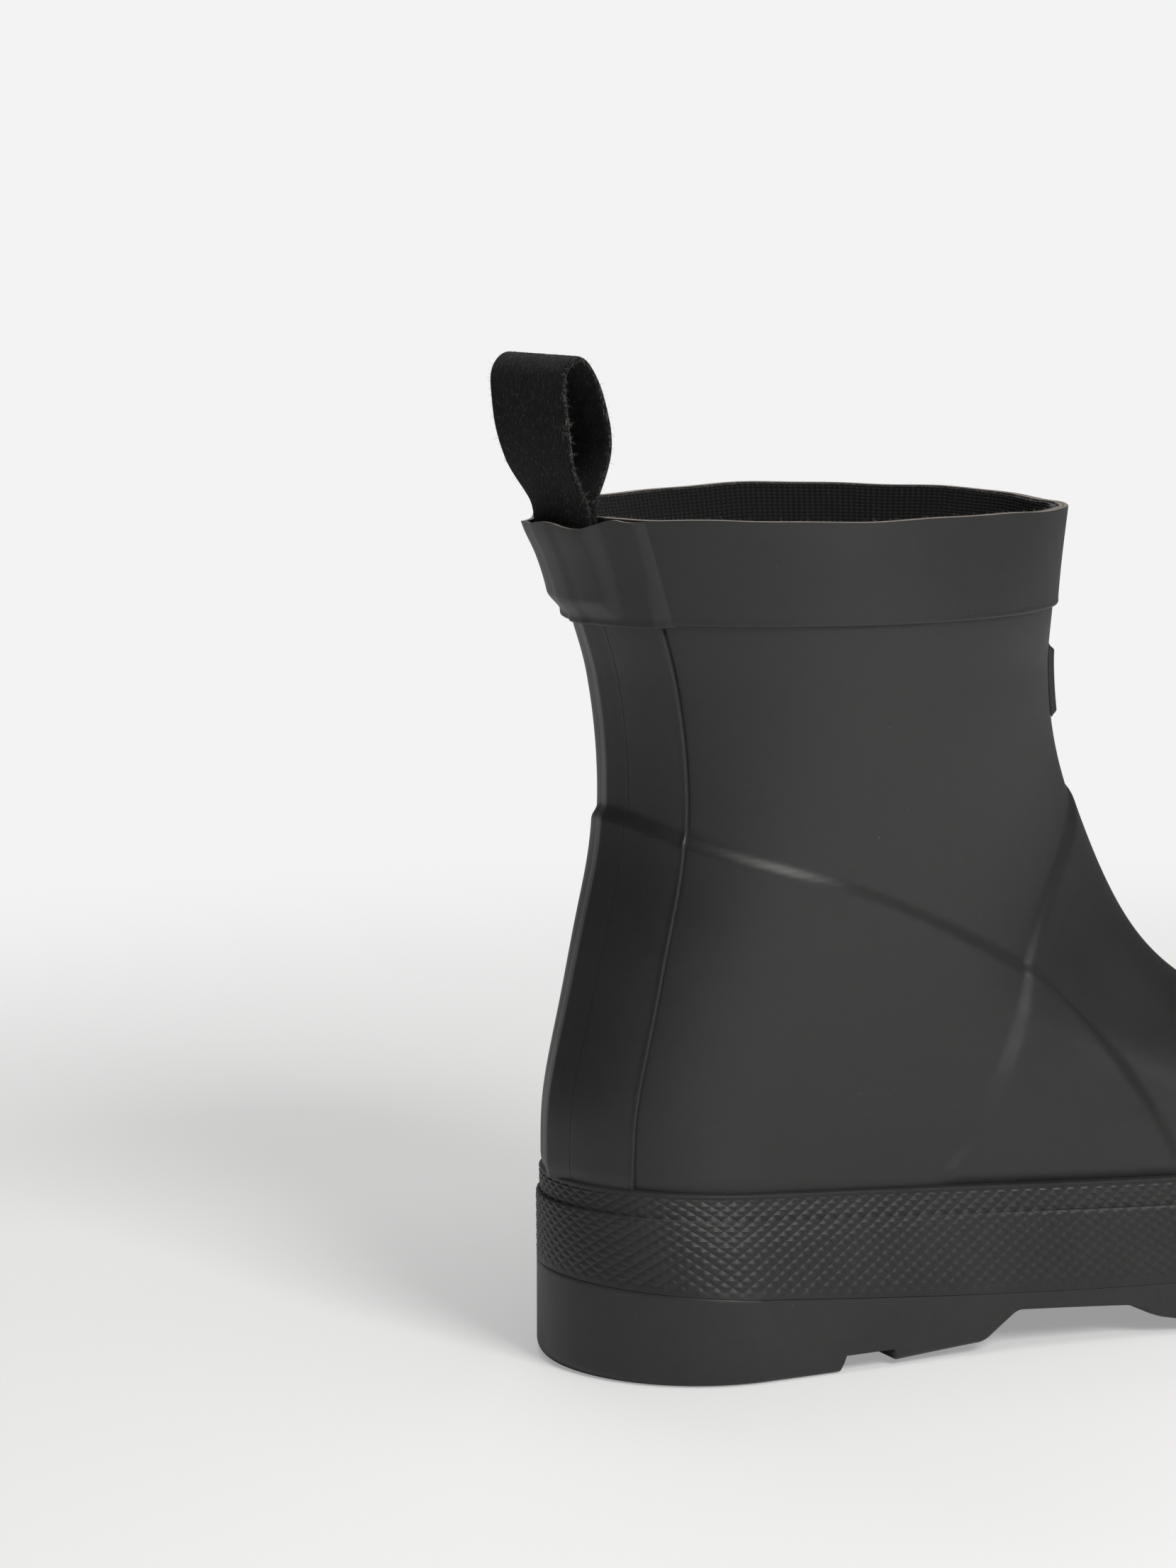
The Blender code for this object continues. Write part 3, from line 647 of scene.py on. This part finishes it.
patchLook = {"half": 29.0, "low": 184.3, "thick": 1.1, "tailEnd": (18.5, 24.5), "tailRise": 2.4,
             "slack": 0.9, "dip": 2.4, "pucker": 0.12}


# The patch over the loop's tail: it swells over the webbing and the rib, and its top edge droops.
def backPatch():
    look = patchLook
    low, tail = levelAt(look["low"], 0), levelAt(rimZ - look["tailEnd"][0], 0)
    tailFoot = levelAt(rimZ - look["tailEnd"][1], 0)
    levels = crowded(low, 1, 84, 0.5)
    distance = crowded(-look["half"], look["half"], 121, 0.4)
    angle, level = backGrid(distance, levels)
    off, up = abs(distance)[None, :], (level - low) * mmPerLevel
    inside = look["half"] - off
    overTail = smooth((17.6 - off) / 4.5) * smooth((level - tailFoot) / (tail - tailFoot))
    slack = look["slack"] * smooth((level - tail) / (1 - tail)) * smooth((22 - off) / 12)
    ribPrint = smooth((6 - off) / 3.5) * (0.75 - 0.35 * overTail)
    stayPrint = 0.55 * smooth((25.8 - off) / 1.8) * smooth(1 - up / 16)
    pucker = look["pucker"] * np.sin(distance / 3.1 + 0.6) * smooth((level - 0.93) / 0.07)
    base = 0.45 + 0.95 * smooth(inside / 4) + 0.25 * smooth(1 - up / 3)
    depth = base + overTail * look["tailRise"] + slack + ribPrint + stayPrint + pucker
    thick = look["thick"] * edgeRound(up, 0.6) * edgeRound(inside, 5, 0.12)
    outer, inner = offsetPoint(angle, level, depth + thick), offsetPoint(angle, level, depth)
    ragged = 0.35 * np.sin(distance / 2.3) + 0.3 * np.sin(distance / 5.7 + 1)
    ragged = ragged - look["dip"] * smooth((22 - off[0]) / 9)
    for side in (outer, inner):
        side[..., 2] += ragged * smooth((level - 0.95) / 0.05)
    sheetPiece("backPatch", outer, inner, rubber, nodes=["back_patch"])


badgeLook = {"low": 155.2, "high": 173.7, "half": 20.0, "rise": 1.3, "bevel": 1.6}


# A blank raised plate with bevelled sides, high on the front.
def frontBadge():
    look = badgeLook
    low, high = levelAt(look["low"], pi), levelAt(look["high"], pi)
    perAngle = np.linalg.norm(skinPoint(pi + 0.1, 0.8) - skinPoint(pi, 0.8)) / 0.1
    distance = crowded(-look["half"], look["half"], 61, 0.7)
    level, distance = np.meshgrid(crowded(low, high, 41, 0.7), distance, indexing="ij")
    angle = pi + distance / perAngle
    inside = np.minimum(look["half"] - abs(distance), np.minimum(level - low, high - level) * mmPerLevel)
    depth = relief(angle, level) + 0.1
    thick = 0.25 + look["rise"] * smooth(inside / look["bevel"])
    sheetPiece("frontBadge", offsetPoint(angle, level, depth + thick), offsetPoint(angle, level, depth),
               rubber, nodes=["front_badge"])


upperSkin()
backStay()
backRib()
collarBand()
backPatch()
frontBadge()
print("upper made")

foxingLook = {
    "wide": 3.9, "tall": 2.45, "perDiamond": 6, "depth": 0.34, "lip": 1.1, "fadeIn": 2.0,
    "strip": (0.15, 1.9), "band": (1.95, 2.75), "bandTop": 0.72,
}


def toGroove(t):
    return 1 - abs(2 * (t % 1) - 1)


# Height of the diamonds, 0 in the grooves and 1 on the points.
def knurl(along, up):
    wide, tall = foxingLook["wide"], foxingLook["tall"]
    return np.minimum(toGroove(along / wide + up / tall), toGroove(along / wide - up / tall))


def foxingPiece(name, lowRow, highRow, inner, outer, nodes, rowsBelow=0, lip=0.0):
    look = foxingLook
    perMm = levelOf["soleEdge"] / foxingTop
    _, length = evenAngles(1440, 0.05)
    diamonds = round(length / look["wide"])
    columns = diamonds * look["perDiamond"]
    angles, _ = evenAngles(columns, 0.05)
    along = np.arange(columns) * look["wide"] / look["perDiamond"]
    up = np.arange(lowRow, highRow + 1) * look["tall"] / look["perDiamond"]
    top = up[-1]
    if rowsBelow:
        up = np.concatenate([np.linspace(0, up[0], rowsBelow, endpoint=False), up])
    height = knurl(along[None, :], up[:, None])
    if lip:
        fade = smooth((top - up - lip) / 0.5)[:, None]
        crease = np.exp(-(((top - up - lip - 0.3) / 0.3) ** 2))[:, None]
        height = height * fade + 0.9 * (1 - fade) - 0.8 * crease
    if not rowsBelow:
        height = 0.85 + (height - 0.85) * smooth(up / look["fadeIn"])[:, None]
    rounded = edgeRound(np.minimum(top - up, up + 0.45), 0.6, 0.4)[:, None]
    depth = inner + (outer - inner - look["depth"] + look["depth"] * height) * rounded
    level, angle = np.meshgrid(np.minimum(up * perMm, 1), angles, indexing="ij")
    rings = offsetPoint(angle, level, depth, wave=False)
    insideLevels = np.array([up[-1], up[-1] * 0.5, up[0]]) * perMm
    level, angle = np.meshgrid(insideLevels, angles, indexing="ij")
    rings = np.concatenate([rings, offsetPoint(angle, level, inner, wave=False)])
    rows = len(rings)
    quads = gridFaces(rows, columns, True, True)
    knurledOnes = quads[: (len(up) - 1) * columns]
    faces = splitLow(knurledOnes, height.ravel()).tolist() + quads[(len(up) - 1) * columns :].tolist()
    addPiece(name, rings.reshape(-1, 3), faces, knurled, nodes=nodes, sharp=28)


def foxing():
    look = foxingLook
    rows = round(foxingTop / look["tall"] * look["perDiamond"])
    stepRow = round(rows * look["bandTop"])
    foxingPiece("foxingBand", 0, stepRow, *look["band"], nodes=["foxing_band"])
    foxingPiece("foxingStrip", stepRow - 2, rows, *look["strip"], nodes=["foxing_strip"],
                rowsBelow=4, lip=look["lip"])


foxing()
print("foxing made")

soleLook = {
    "reach": 2.65, "columns": 960, "bottomRows": 34, "round": 2.2, "roundShare": 0.13, "gap": 0.05,
    "notch": (67.4, 81.9, 27.0, 4.3), "grooveHalf": 2.5, "grooveDepth": 3.5, "wall": 1.0,
    "cutFromRing": 11,
}
# The tread's height at places along the sole, in mm from the heel.
treadLine = (
    (0, 0), (66, 0), (107.5, 2.8), (116.5, 10), (148, 8.2), (156, 4.5), (179, 0),
    (220, 0), (238, 3), (262, 9.5), (282, 17),
)
# Where each groove across the tread lies, and how far it reaches to either side.
crossGrooves = ((28, 24), (46, 26), (172, 36), (188, 38), (204, 38), (220, 35), (236, 30), (250, 22))


def treadZ(x):
    return np.mean([np.interp(x + away, *zip(*treadLine)) for away in (-1, 0, 1)], axis=0)


# The height of the feather line, where the skin meets the sole.
def featherZ(x):
    back, height, front = bootRings["feather"][:3]
    along = np.clip((x - back) / (front - back), 0, 1)
    return height - bootRings["feather"][-1] * np.sin(pi * along**1.2)


# How deep the tread is cut at a place: the cross grooves, and the notch in each side of the heel.
def treadCut(x, y, z):
    look = soleLook
    cut = np.zeros_like(x)
    for middle, half in crossGrooves:
        across = smooth((look["grooveHalf"] + look["wall"] / 2 - abs(x - middle)) / look["wall"])
        ends = smooth((half - abs(y)) / 1.5 + 0.5)
        cut = np.maximum(cut, look["grooveDepth"] * across * ends)
    start, end, inner, top = look["notch"]
    inNotch = smooth((x - start) / 0.9 + 0.5) * smooth((end - x) / 0.9 + 0.5)
    inNotch = inNotch * smooth((abs(y) - inner) / 1.2 + 0.5)
    return np.maximum(cut, np.clip(top - z, 0, None) * inNotch)


def outsole():
    look = soleLook
    angles, _ = evenAngles(look["columns"], 0)
    topRing = offsetPoint(angles, 0, look["reach"], wave=False)
    top, bottom = skinPoint(angles, 0)[:, 2] - look["gap"], treadZ(topRing[:, 0])
    height = top - bottom
    rings = []

    def ring(inset, share):
        made = offsetPoint(angles, 0, look["reach"] - inset, wave=False)
        made[:, 2] = bottom + height * share
        rings.append(made)

    for inset, share in ((9, 1), (2, 1), (0.2, 1), (0, 0.992), (0, 0.95)):
        ring(inset, share)
    for share in np.linspace(0.88, look["roundShare"], 16):
        ring(0, share)
    for t in np.linspace(0, pi / 2, 9)[1:]:
        ring(look["round"] * (1 - cos(t)), look["roundShare"] * (1 - sin(t)))
    edge = rings[-1]
    for share in 1 - (1 - np.linspace(0, 1, look["bottomRows"])[1:]) ** 1.25:
        made = edge.copy()
        made[:, 1] = edge[:, 1] * (1 - share)
        made[:, 2] = treadZ(edge[:, 0])
        rings.append(made)
    rings = np.array(rings)
    x, y, z = np.moveaxis(rings, -1, 0)
    below = np.arange(len(rings)) >= look["cutFromRing"]
    rings[..., 2] = z + treadCut(x, y, z) * below[:, None]
    rows, columns = rings.shape[:2]
    faces = gridFaces(rows, columns, False, True).tolist()
    piece = addPiece("treadedOutsole", rings.reshape(-1, 3), faces + closingFaces(columns), soleRubber,
                     nodes=["outsole"], slotName="sole_rubber", sharp=50)
    turnOutwards(piece.data, joinWithin=0.02 * mm)


outsole()
print("outsole made")

liningLook = {"thick": 0.8, "depth": 1.4, "room": 1.6, "boardTop": 2.6, "columns": 360, "rows": 110}


def liningDepth(level):
    room = liningLook["room"] * smooth((levelOf["collar"] - level) / (levelOf["collar"] - levelOf["shin"]))
    return -liningLook["depth"] - room


def lining():
    look = liningLook
    columns, rows = look["columns"], look["rows"]
    angles, length = evenAngles(columns, 0.9)
    levels = np.linspace(levelOf["soleEdge"] * look["boardTop"] / foxingTop, levelAt(rimZ - 0.4), rows)
    level, angle = np.meshgrid(levels, angles, indexing="ij")
    outer = offsetPoint(angle, level, liningDepth(level))
    inner = offsetPoint(angle, level, liningDepth(level) - look["thick"])
    inner[0, :, 2] = outer[0, :, 2] + look["thick"]
    behind = rows * columns
    outside, floor = gridFaces(rows, columns, False, True), closingFaces(columns)
    top = behind - columns
    rim = [(top + i, top + (i + 1) % columns, behind + top + (i + 1) % columns, behind + top + i)
           for i in range(columns)]
    faces = outside.tolist() + (outside + behind).tolist() + rim + floor
    faces += [tuple(corner + behind for corner in face) for face in floor]
    cloth = gridCloth(np.arange(columns) * length / columns, levels * mmPerLevel, True)
    addPiece("sockLining", np.concatenate([outer.reshape(-1, 3), inner.reshape(-1, 3)]), faces, canvas,
             nodes=["lining"], slotName="canvas", cloth=np.concatenate([cloth, cloth]))


tapeLook = {"thick": 0.6, "low": 178.0, "ribDepth": 0.28, "perRib": 6, "rows": 76}


# The tape round the inside of the rim, whose ribs stand up and down.
def topTape():
    look = tapeLook
    levels = np.linspace(levelAt(look["low"]), levelAt(rimZ - 0.3), look["rows"])
    _, length = evenAngles(1440, 0.97)
    ribs = round(length / clothLook["ribs"])
    columns = ribs * look["perRib"]
    angles, _ = evenAngles(columns, 0.97)
    along = np.arange(columns) * length / columns
    level, angle = np.meshgrid(levels, angles, indexing="ij")
    up = (level - levels[0]) * mmPerLevel
    ribbing = (1 - np.cos(2 * pi * np.arange(columns) / look["perRib"])) / 2
    shift = np.arange(columns) // look["perRib"] % 2
    pick = np.sin(2 * pi * up / clothLook["picks"] + pi * shift[None, :])
    outside = liningDepth(level) - liningLook["thick"] - 0.1
    inside = outside - look["thick"] + look["ribDepth"] * (1 - ribbing[None, :] * (0.8 + 0.2 * pick))
    rings = np.concatenate([offsetPoint(angle, level, inside),
                            offsetPoint(angle[::-25], level[::-25], outside[::-25])])
    rows = len(rings)
    faces = gridFaces(rows, columns, True, True)
    cloth = np.zeros((len(faces), 4, 2))
    inner = gridCloth(along, up[:, 0], True)
    cloth[: len(inner)] = inner
    addPiece("topTape", rings.reshape(-1, 3), faces, canvas,
             nodes=["top_tape"], slotName="canvas", cloth=cloth)


footbedLook = {"low": 5.0, "thick": 4.3, "inset": 6.9, "ends": (16.6, 263.2), "cup": 2.2, "arch": 2.6}


# The loose footbed: a cushioned slab with a soft round edge, a heel cup and a rise under the arch.
def footbed():
    look = footbedLook
    columns, shares = 96, crowded(-1, 1, 41, 0.55)
    t = np.linspace(0, pi, columns)
    x = look["ends"][0] + (look["ends"][1] - look["ends"][0]) * (1 - np.cos(t)) / 2
    back, front = bootRings["feather"][0] + look["inset"], bootRings["feather"][2] - look["inset"]
    angle = np.arccos(np.clip(1 - 2 * (x - back) / (front - back), -1, 1))
    outerHalf = np.maximum(-skinPoint(angle, 0)[:, 1] - look["inset"], 1.5)
    innerHalf = np.maximum(skinPoint(2 * pi - angle, 0)[:, 1] - look["inset"], 1.5)
    share, place = np.meshgrid(shares, x, indexing="ij")
    y = np.where(share < 0, share * outerHalf, share * innerHalf)
    inside = np.minimum((1 - abs(share)) * np.where(share < 0, outerHalf, innerHalf),
                        np.minimum(place - x[0], x[-1] - place) + 0.4)
    floor = featherZ(place) + look["low"]
    cup = look["cup"] * smooth(1 - inside / 12) * smooth((95 - place) / 40)
    arch = look["arch"] * smooth(share * 1.2) * np.exp(-(((place - 125) / 34) ** 2))
    crown = look["thick"] * edgeRound(inside, 3.5, 0.25)
    crown = crown + cup * smooth(inside / 3) + arch * smooth(inside / 4)
    top = np.stack([place, y, floor + crown], -1)
    bottom = np.stack([place, y, floor], -1)
    piece = sheetPiece("footbedCushion", top, bottom, knit, nodes=["footbed"], slotName="footbed_fabric")


lining()
topTape()
footbed()
print("lining and footbed made")

loopAxis = (8.0, 212.0)
# The free loop's middle line, in mm forwards and up from its axis.
loopRoute = (
    (-1.05, 0.4), (-1.7, 3), (-4.4, 11), (-6.6, 19), (-7.7, 27), (-7, 33.2), (-3.6, 35.6), (0.4, 32.4),
    (4.2, 23.5), (5.9, 14.5), (4.9, 8.5), (2.6, 4), (1.05, 0.4),
)


# The middle line of the webbing in side view: up the outer ply, over the top and down the inner one.
def webbingLine():
    heights = np.array(webLook["tailHeights"])
    back = skinPoint(0, levelAt(heights, 0))[:, 0]
    ply = webLook["ply"]
    up = np.stack([back - 0.2 - 1.5 * ply, heights], 1)
    down = np.stack([back - 0.2 - 0.5 * ply, heights], 1)[::-1]
    knots = np.concatenate([up, np.array(loopRoute) + loopAxis, down])
    travel = travelOf(knots)
    return naturalSpline(travel, knots), travel[-1]


# A point of the webbing: s along it, w across it, lifted off its middle by out.
def webbingPoint(line, s, w, out):
    look = webLook
    middle, ahead = line(s), line(s + 0.05) - line(s - 0.05)
    ahead /= np.linalg.norm(ahead, axis=-1, keepdims=True)
    normalX, normalZ = -ahead[..., 1], ahead[..., 0]
    z = middle[..., 1]
    bowed = 1 - smooth((z - look["freeFrom"]) / 15)
    radius = look["bowRadius"]
    turn = w / radius
    x = middle[..., 0] + bowed * radius * (1 - np.cos(turn)) + out * normalX * np.cos(turn * bowed)
    y = w * (1 - bowed) + bowed * radius * np.sin(turn) - out * normalX * np.sin(turn * bowed)
    twist = radians(look["twist"]) * smooth((z - look["freeFrom"]) / 26)
    away = x - loopAxis[0]
    return np.stack([loopAxis[0] + away * np.cos(twist) - y * np.sin(twist),
                     away * np.sin(twist) + y * np.cos(twist), z + out * normalZ], -1)


def pullLoop():
    look = webLook
    line, length = webbingLine()
    rows, across = round(length / look["step"]), round(look["width"] / look["step"])
    s = np.linspace(0.1, length - 0.1, rows)
    half = look["width"] / 2
    w = np.linspace(-half, half, across + 1)
    w = np.concatenate([w, w[::-1]])
    side = np.concatenate([np.ones(across + 1), -np.ones(across + 1)])
    sGrid, wGrid = np.meshgrid(s, w, indexing="ij")
    nubs = chance.normal(0, 0.5, sGrid.shape)
    edge = half - abs(wGrid)
    thick = look["thick"] / 2 * edgeRound(edge, 1.2, 0.45)
    out = side * (thick + look["knitDepth"] * nubs * smooth(edge / 1.5))
    ragged = 0.18 * np.sin(sGrid * 7.1) * np.sin(sGrid * 1.9) * (edge < 0.2)
    points = webbingPoint(line, sGrid, wGrid + ragged * np.sign(wGrid), out)
    columns = len(w)
    faces = gridFaces(rows, columns, False, True).tolist()
    faces += [list(range(columns)), [(rows - 1) * columns + i for i in range(columns)]]
    cloth = gridCloth(w, s, True)
    piece = addPiece("pullLoop", points.reshape(-1, 3), faces, webbing, nodes=["pull_loop", "loop_tail"],
                     slotName="webbing", body=None, cloth=cloth, sharp=80)
    hairs = loopFuzz(line, length)
    for part in (piece, hairs):
        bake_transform(part)
    length * mm


fuzzLook = {"edges": 620, "flats": 420, "thick": 0.07, "rim": 900, "rimThick": 0.06,
            "steps": 4, "curl": 0.45, "taper": 0.7}


# Loose fibres as thin three-sided hairs that curl as they go.
def fuzzPiece(name, roots, ways, lengths, thick, body):
    steps = fuzzLook["steps"]
    points, faces = [], []
    for root, way, length in zip(roots, ways, lengths):
        way = way / np.linalg.norm(way)
        curl = chance.normal(0, fuzzLook["curl"], 3)
        side = np.cross(way, (0.3, 0.5, 0.8))
        side /= np.linalg.norm(side)
        other = np.cross(way, side)
        start = len(points)
        for step in range(steps):
            t = step / (steps - 1)
            middle = root + way * length * t + curl * length * 0.5 * t * t
            wide = thick * (1 - fuzzLook["taper"] * t) / 2
            for turn in (0, 2 * pi / 3, 4 * pi / 3):
                points.append(middle + wide * (cos(turn) * side + sin(turn) * other))
        for step in range(steps - 1):
            for i in range(3):
                low, on = start + 3 * step, (i + 1) % 3
                faces.append((low + i, low + on, low + 3 + on, low + 3 + i))
        tip = start + 3 * (steps - 1)
        faces += [(start, start + 1, start + 2), (tip, tip + 1, tip + 2)]
    return addPiece(name, points, faces, fuzz, slotName="webbing", body=body)


# Fibres frayed from both selvedges, and shorter ones that lie on the webbing's faces.
def loopFuzz(line, length):
    count = fuzzLook["edges"] + fuzzLook["flats"]
    onEdge = np.arange(count) < fuzzLook["edges"]
    s = chance.uniform(16, length - 16, count)
    side = chance.choice([-1.0, 1.0], count)
    fromMiddle = np.where(onEdge, webLook["width"] / 2 - chance.uniform(-0.05, 0.35, count),
                          chance.uniform(0, webLook["width"] / 2 - 1, count))
    face = np.where(chance.uniform(0, 1, count) < 0.5, -1, 1)
    out = np.where(onEdge, chance.uniform(-0.5, 0.5, count), face * (webLook["thick"] / 2 + 0.04))
    roots = webbingPoint(line, s, side * fromMiddle, out)
    ways = np.stack([chance.normal(0, 0.7, count), side * chance.uniform(0.5, 1.2, count),
                     chance.normal(0, 0.7, count)], 1)
    lengths = np.where(onEdge, chance.uniform(0.4, 1.7, count), chance.uniform(0.2, 0.8, count))
    return fuzzPiece("loopFuzz", roots, ways, lengths, fuzzLook["thick"], None)


# Frayed fibres that stand up between the lining's cut edge and the rubber.
def rimFuzz():
    count = fuzzLook["rim"]
    angle = chance.uniform(0, 2 * pi, count)
    depth = chance.uniform(-2.9, -1.2, count)
    roots = offsetPoint(angle, np.full(count, levelAt(rimZ - 0.5)), depth)
    ways = np.stack([chance.normal(0, 0.7, count), chance.normal(0, 0.7, count),
                     chance.uniform(0.3, 1.2, count)], 1)
    fuzzPiece("rimFuzz", roots, ways, chance.uniform(0.4, 1.3, count), fuzzLook["rimThick"], "boot")


pullLoop()
rimFuzz()
print("loop made")

cameraLook = {"azimuth": -26.826, "elevation": 8.326, "distance": 1086.0, "target": (11.884, -10.0, 145.54),
              "lens": 103.72}


def fromAngles(azimuth, elevation):
    a, e = radians(azimuth), radians(elevation)
    return Vector((sin(a) * cos(e), -cos(a) * cos(e), sin(e)))


def addCamera():
    look = cameraLook
    lens = bpy.data.cameras.new("camera")
    lens.lens, lens.sensor_width, lens.sensor_fit = look["lens"], 36, "AUTO"
    lens.clip_start, lens.clip_end = 0.05, 50
    camera = bpy.data.objects.new("camera", lens)
    back = fromAngles(look["azimuth"], look["elevation"])
    camera.location = Vector(toFrame(look["target"])) + back * look["distance"] * mm
    camera.rotation_euler = back.to_track_quat("Z", "Y").to_euler()
    bpy.context.scene.collection.objects.link(camera)
    bpy.context.scene.camera = camera


lightLook = {
    "key": {"azimuth": 2, "elevation": 35, "distance": 1.25, "size": 0.45, "power": 11.5},
    "top": {"azimuth": 0, "elevation": 80, "distance": 1.6, "size": 1.2, "power": 9},
    "fill": {"azimuth": 75, "elevation": 25, "distance": 2.0, "size": 1.0, "power": 0.8},
    "back": {"azimuth": 170, "elevation": 45, "distance": 2.0, "size": 1.2, "power": 8},
}


def addLights():
    middle = Vector((0, 0, 0.1))
    for name, look in lightLook.items():
        lamp = bpy.data.lights.new(name, "AREA")
        lamp.shape, lamp.size, lamp.energy = "SQUARE", look["size"], look["power"]
        lamp.color = (1.0, 0.99, 0.975)
        light = bpy.data.objects.new(name, lamp)
        way = fromAngles(look["azimuth"], look["elevation"])
        light.location = middle + way * look["distance"]
        light.rotation_euler = way.to_track_quat("Z", "Y").to_euler()
        bpy.context.scene.collection.objects.link(light)


studioLook = {"backdrop": 0.895, "ambient": 0.085}
floorLook = {"half": 8.0, "dark": 0.93, "light": 0.95, "near": 0.35, "fade": (0.25, 0.75), "below": 0.0002}


# The camera sees a pale backdrop, and the boot gets a dimmer, even light from all round.
def addWorld():
    studio = Finish("studio", bpy.data.worlds.new("studio"))
    seen = studio.node("ShaderNodeBackground", None, {"Color": grey(studioLook["backdrop"])})
    around = studio.node("ShaderNodeBackground", None, {"Color": grey(1), "Strength": studioLook["ambient"]})
    cameraRay = studio.node("ShaderNodeLightPath", output="Is Camera Ray")
    either = studio.node("ShaderNodeMixShader", None, {0: cameraRay, 1: around, 2: seen})
    bpy.context.scene.world = studio.end(either, "ShaderNodeOutputWorld")


# The floor takes the boot's soft shadow and fades into the backdrop's tone further out.
def addFloor():
    finish = Finish("pale floor")
    place = finish.place()
    tone = finish.noise(place, 3, 2)
    colour = finish.mix(tone, grey(floorLook["dark"]), grey(floorLook["light"]))
    diffuse = finish.node("ShaderNodeBsdfDiffuse", None, {"Color": colour})
    glow = finish.node("ShaderNodeEmission", None, {"Color": grey(studioLook["backdrop"]), "Strength": 1.0})
    away = finish.node("ShaderNodeVectorMath", {"operation": "LENGTH"}, {0: place}, "Value")
    fade = finish.step(away, *floorLook["fade"], floorLook["near"], 1.0)
    cameraRay = finish.node("ShaderNodeLightPath", output="Is Camera Ray")
    blend = finish.node("ShaderNodeMixShader", None, {0: fade * cameraRay, 1: diffuse, 2: glow})
    mesh = bpy.data.meshes.new("floor")
    half = floorLook["half"]
    corners = [(-half, -half, 0), (half, -half, 0), (half, half, 0), (-half, half, 0)]
    mesh.from_pydata(corners, [], [(0, 1, 2, 3)])
    mesh.materials.append(finish.end(blend))
    floor = bpy.data.objects.new("floor", mesh)
    floor.location.z = cadBounds[0][2] - floorLook["below"]
    bpy.context.scene.collection.objects.link(floor)


addCamera()
addLights()
addWorld()
addFloor()
bpy.context.scene.view_settings.view_transform = "Standard"
print("stage set")
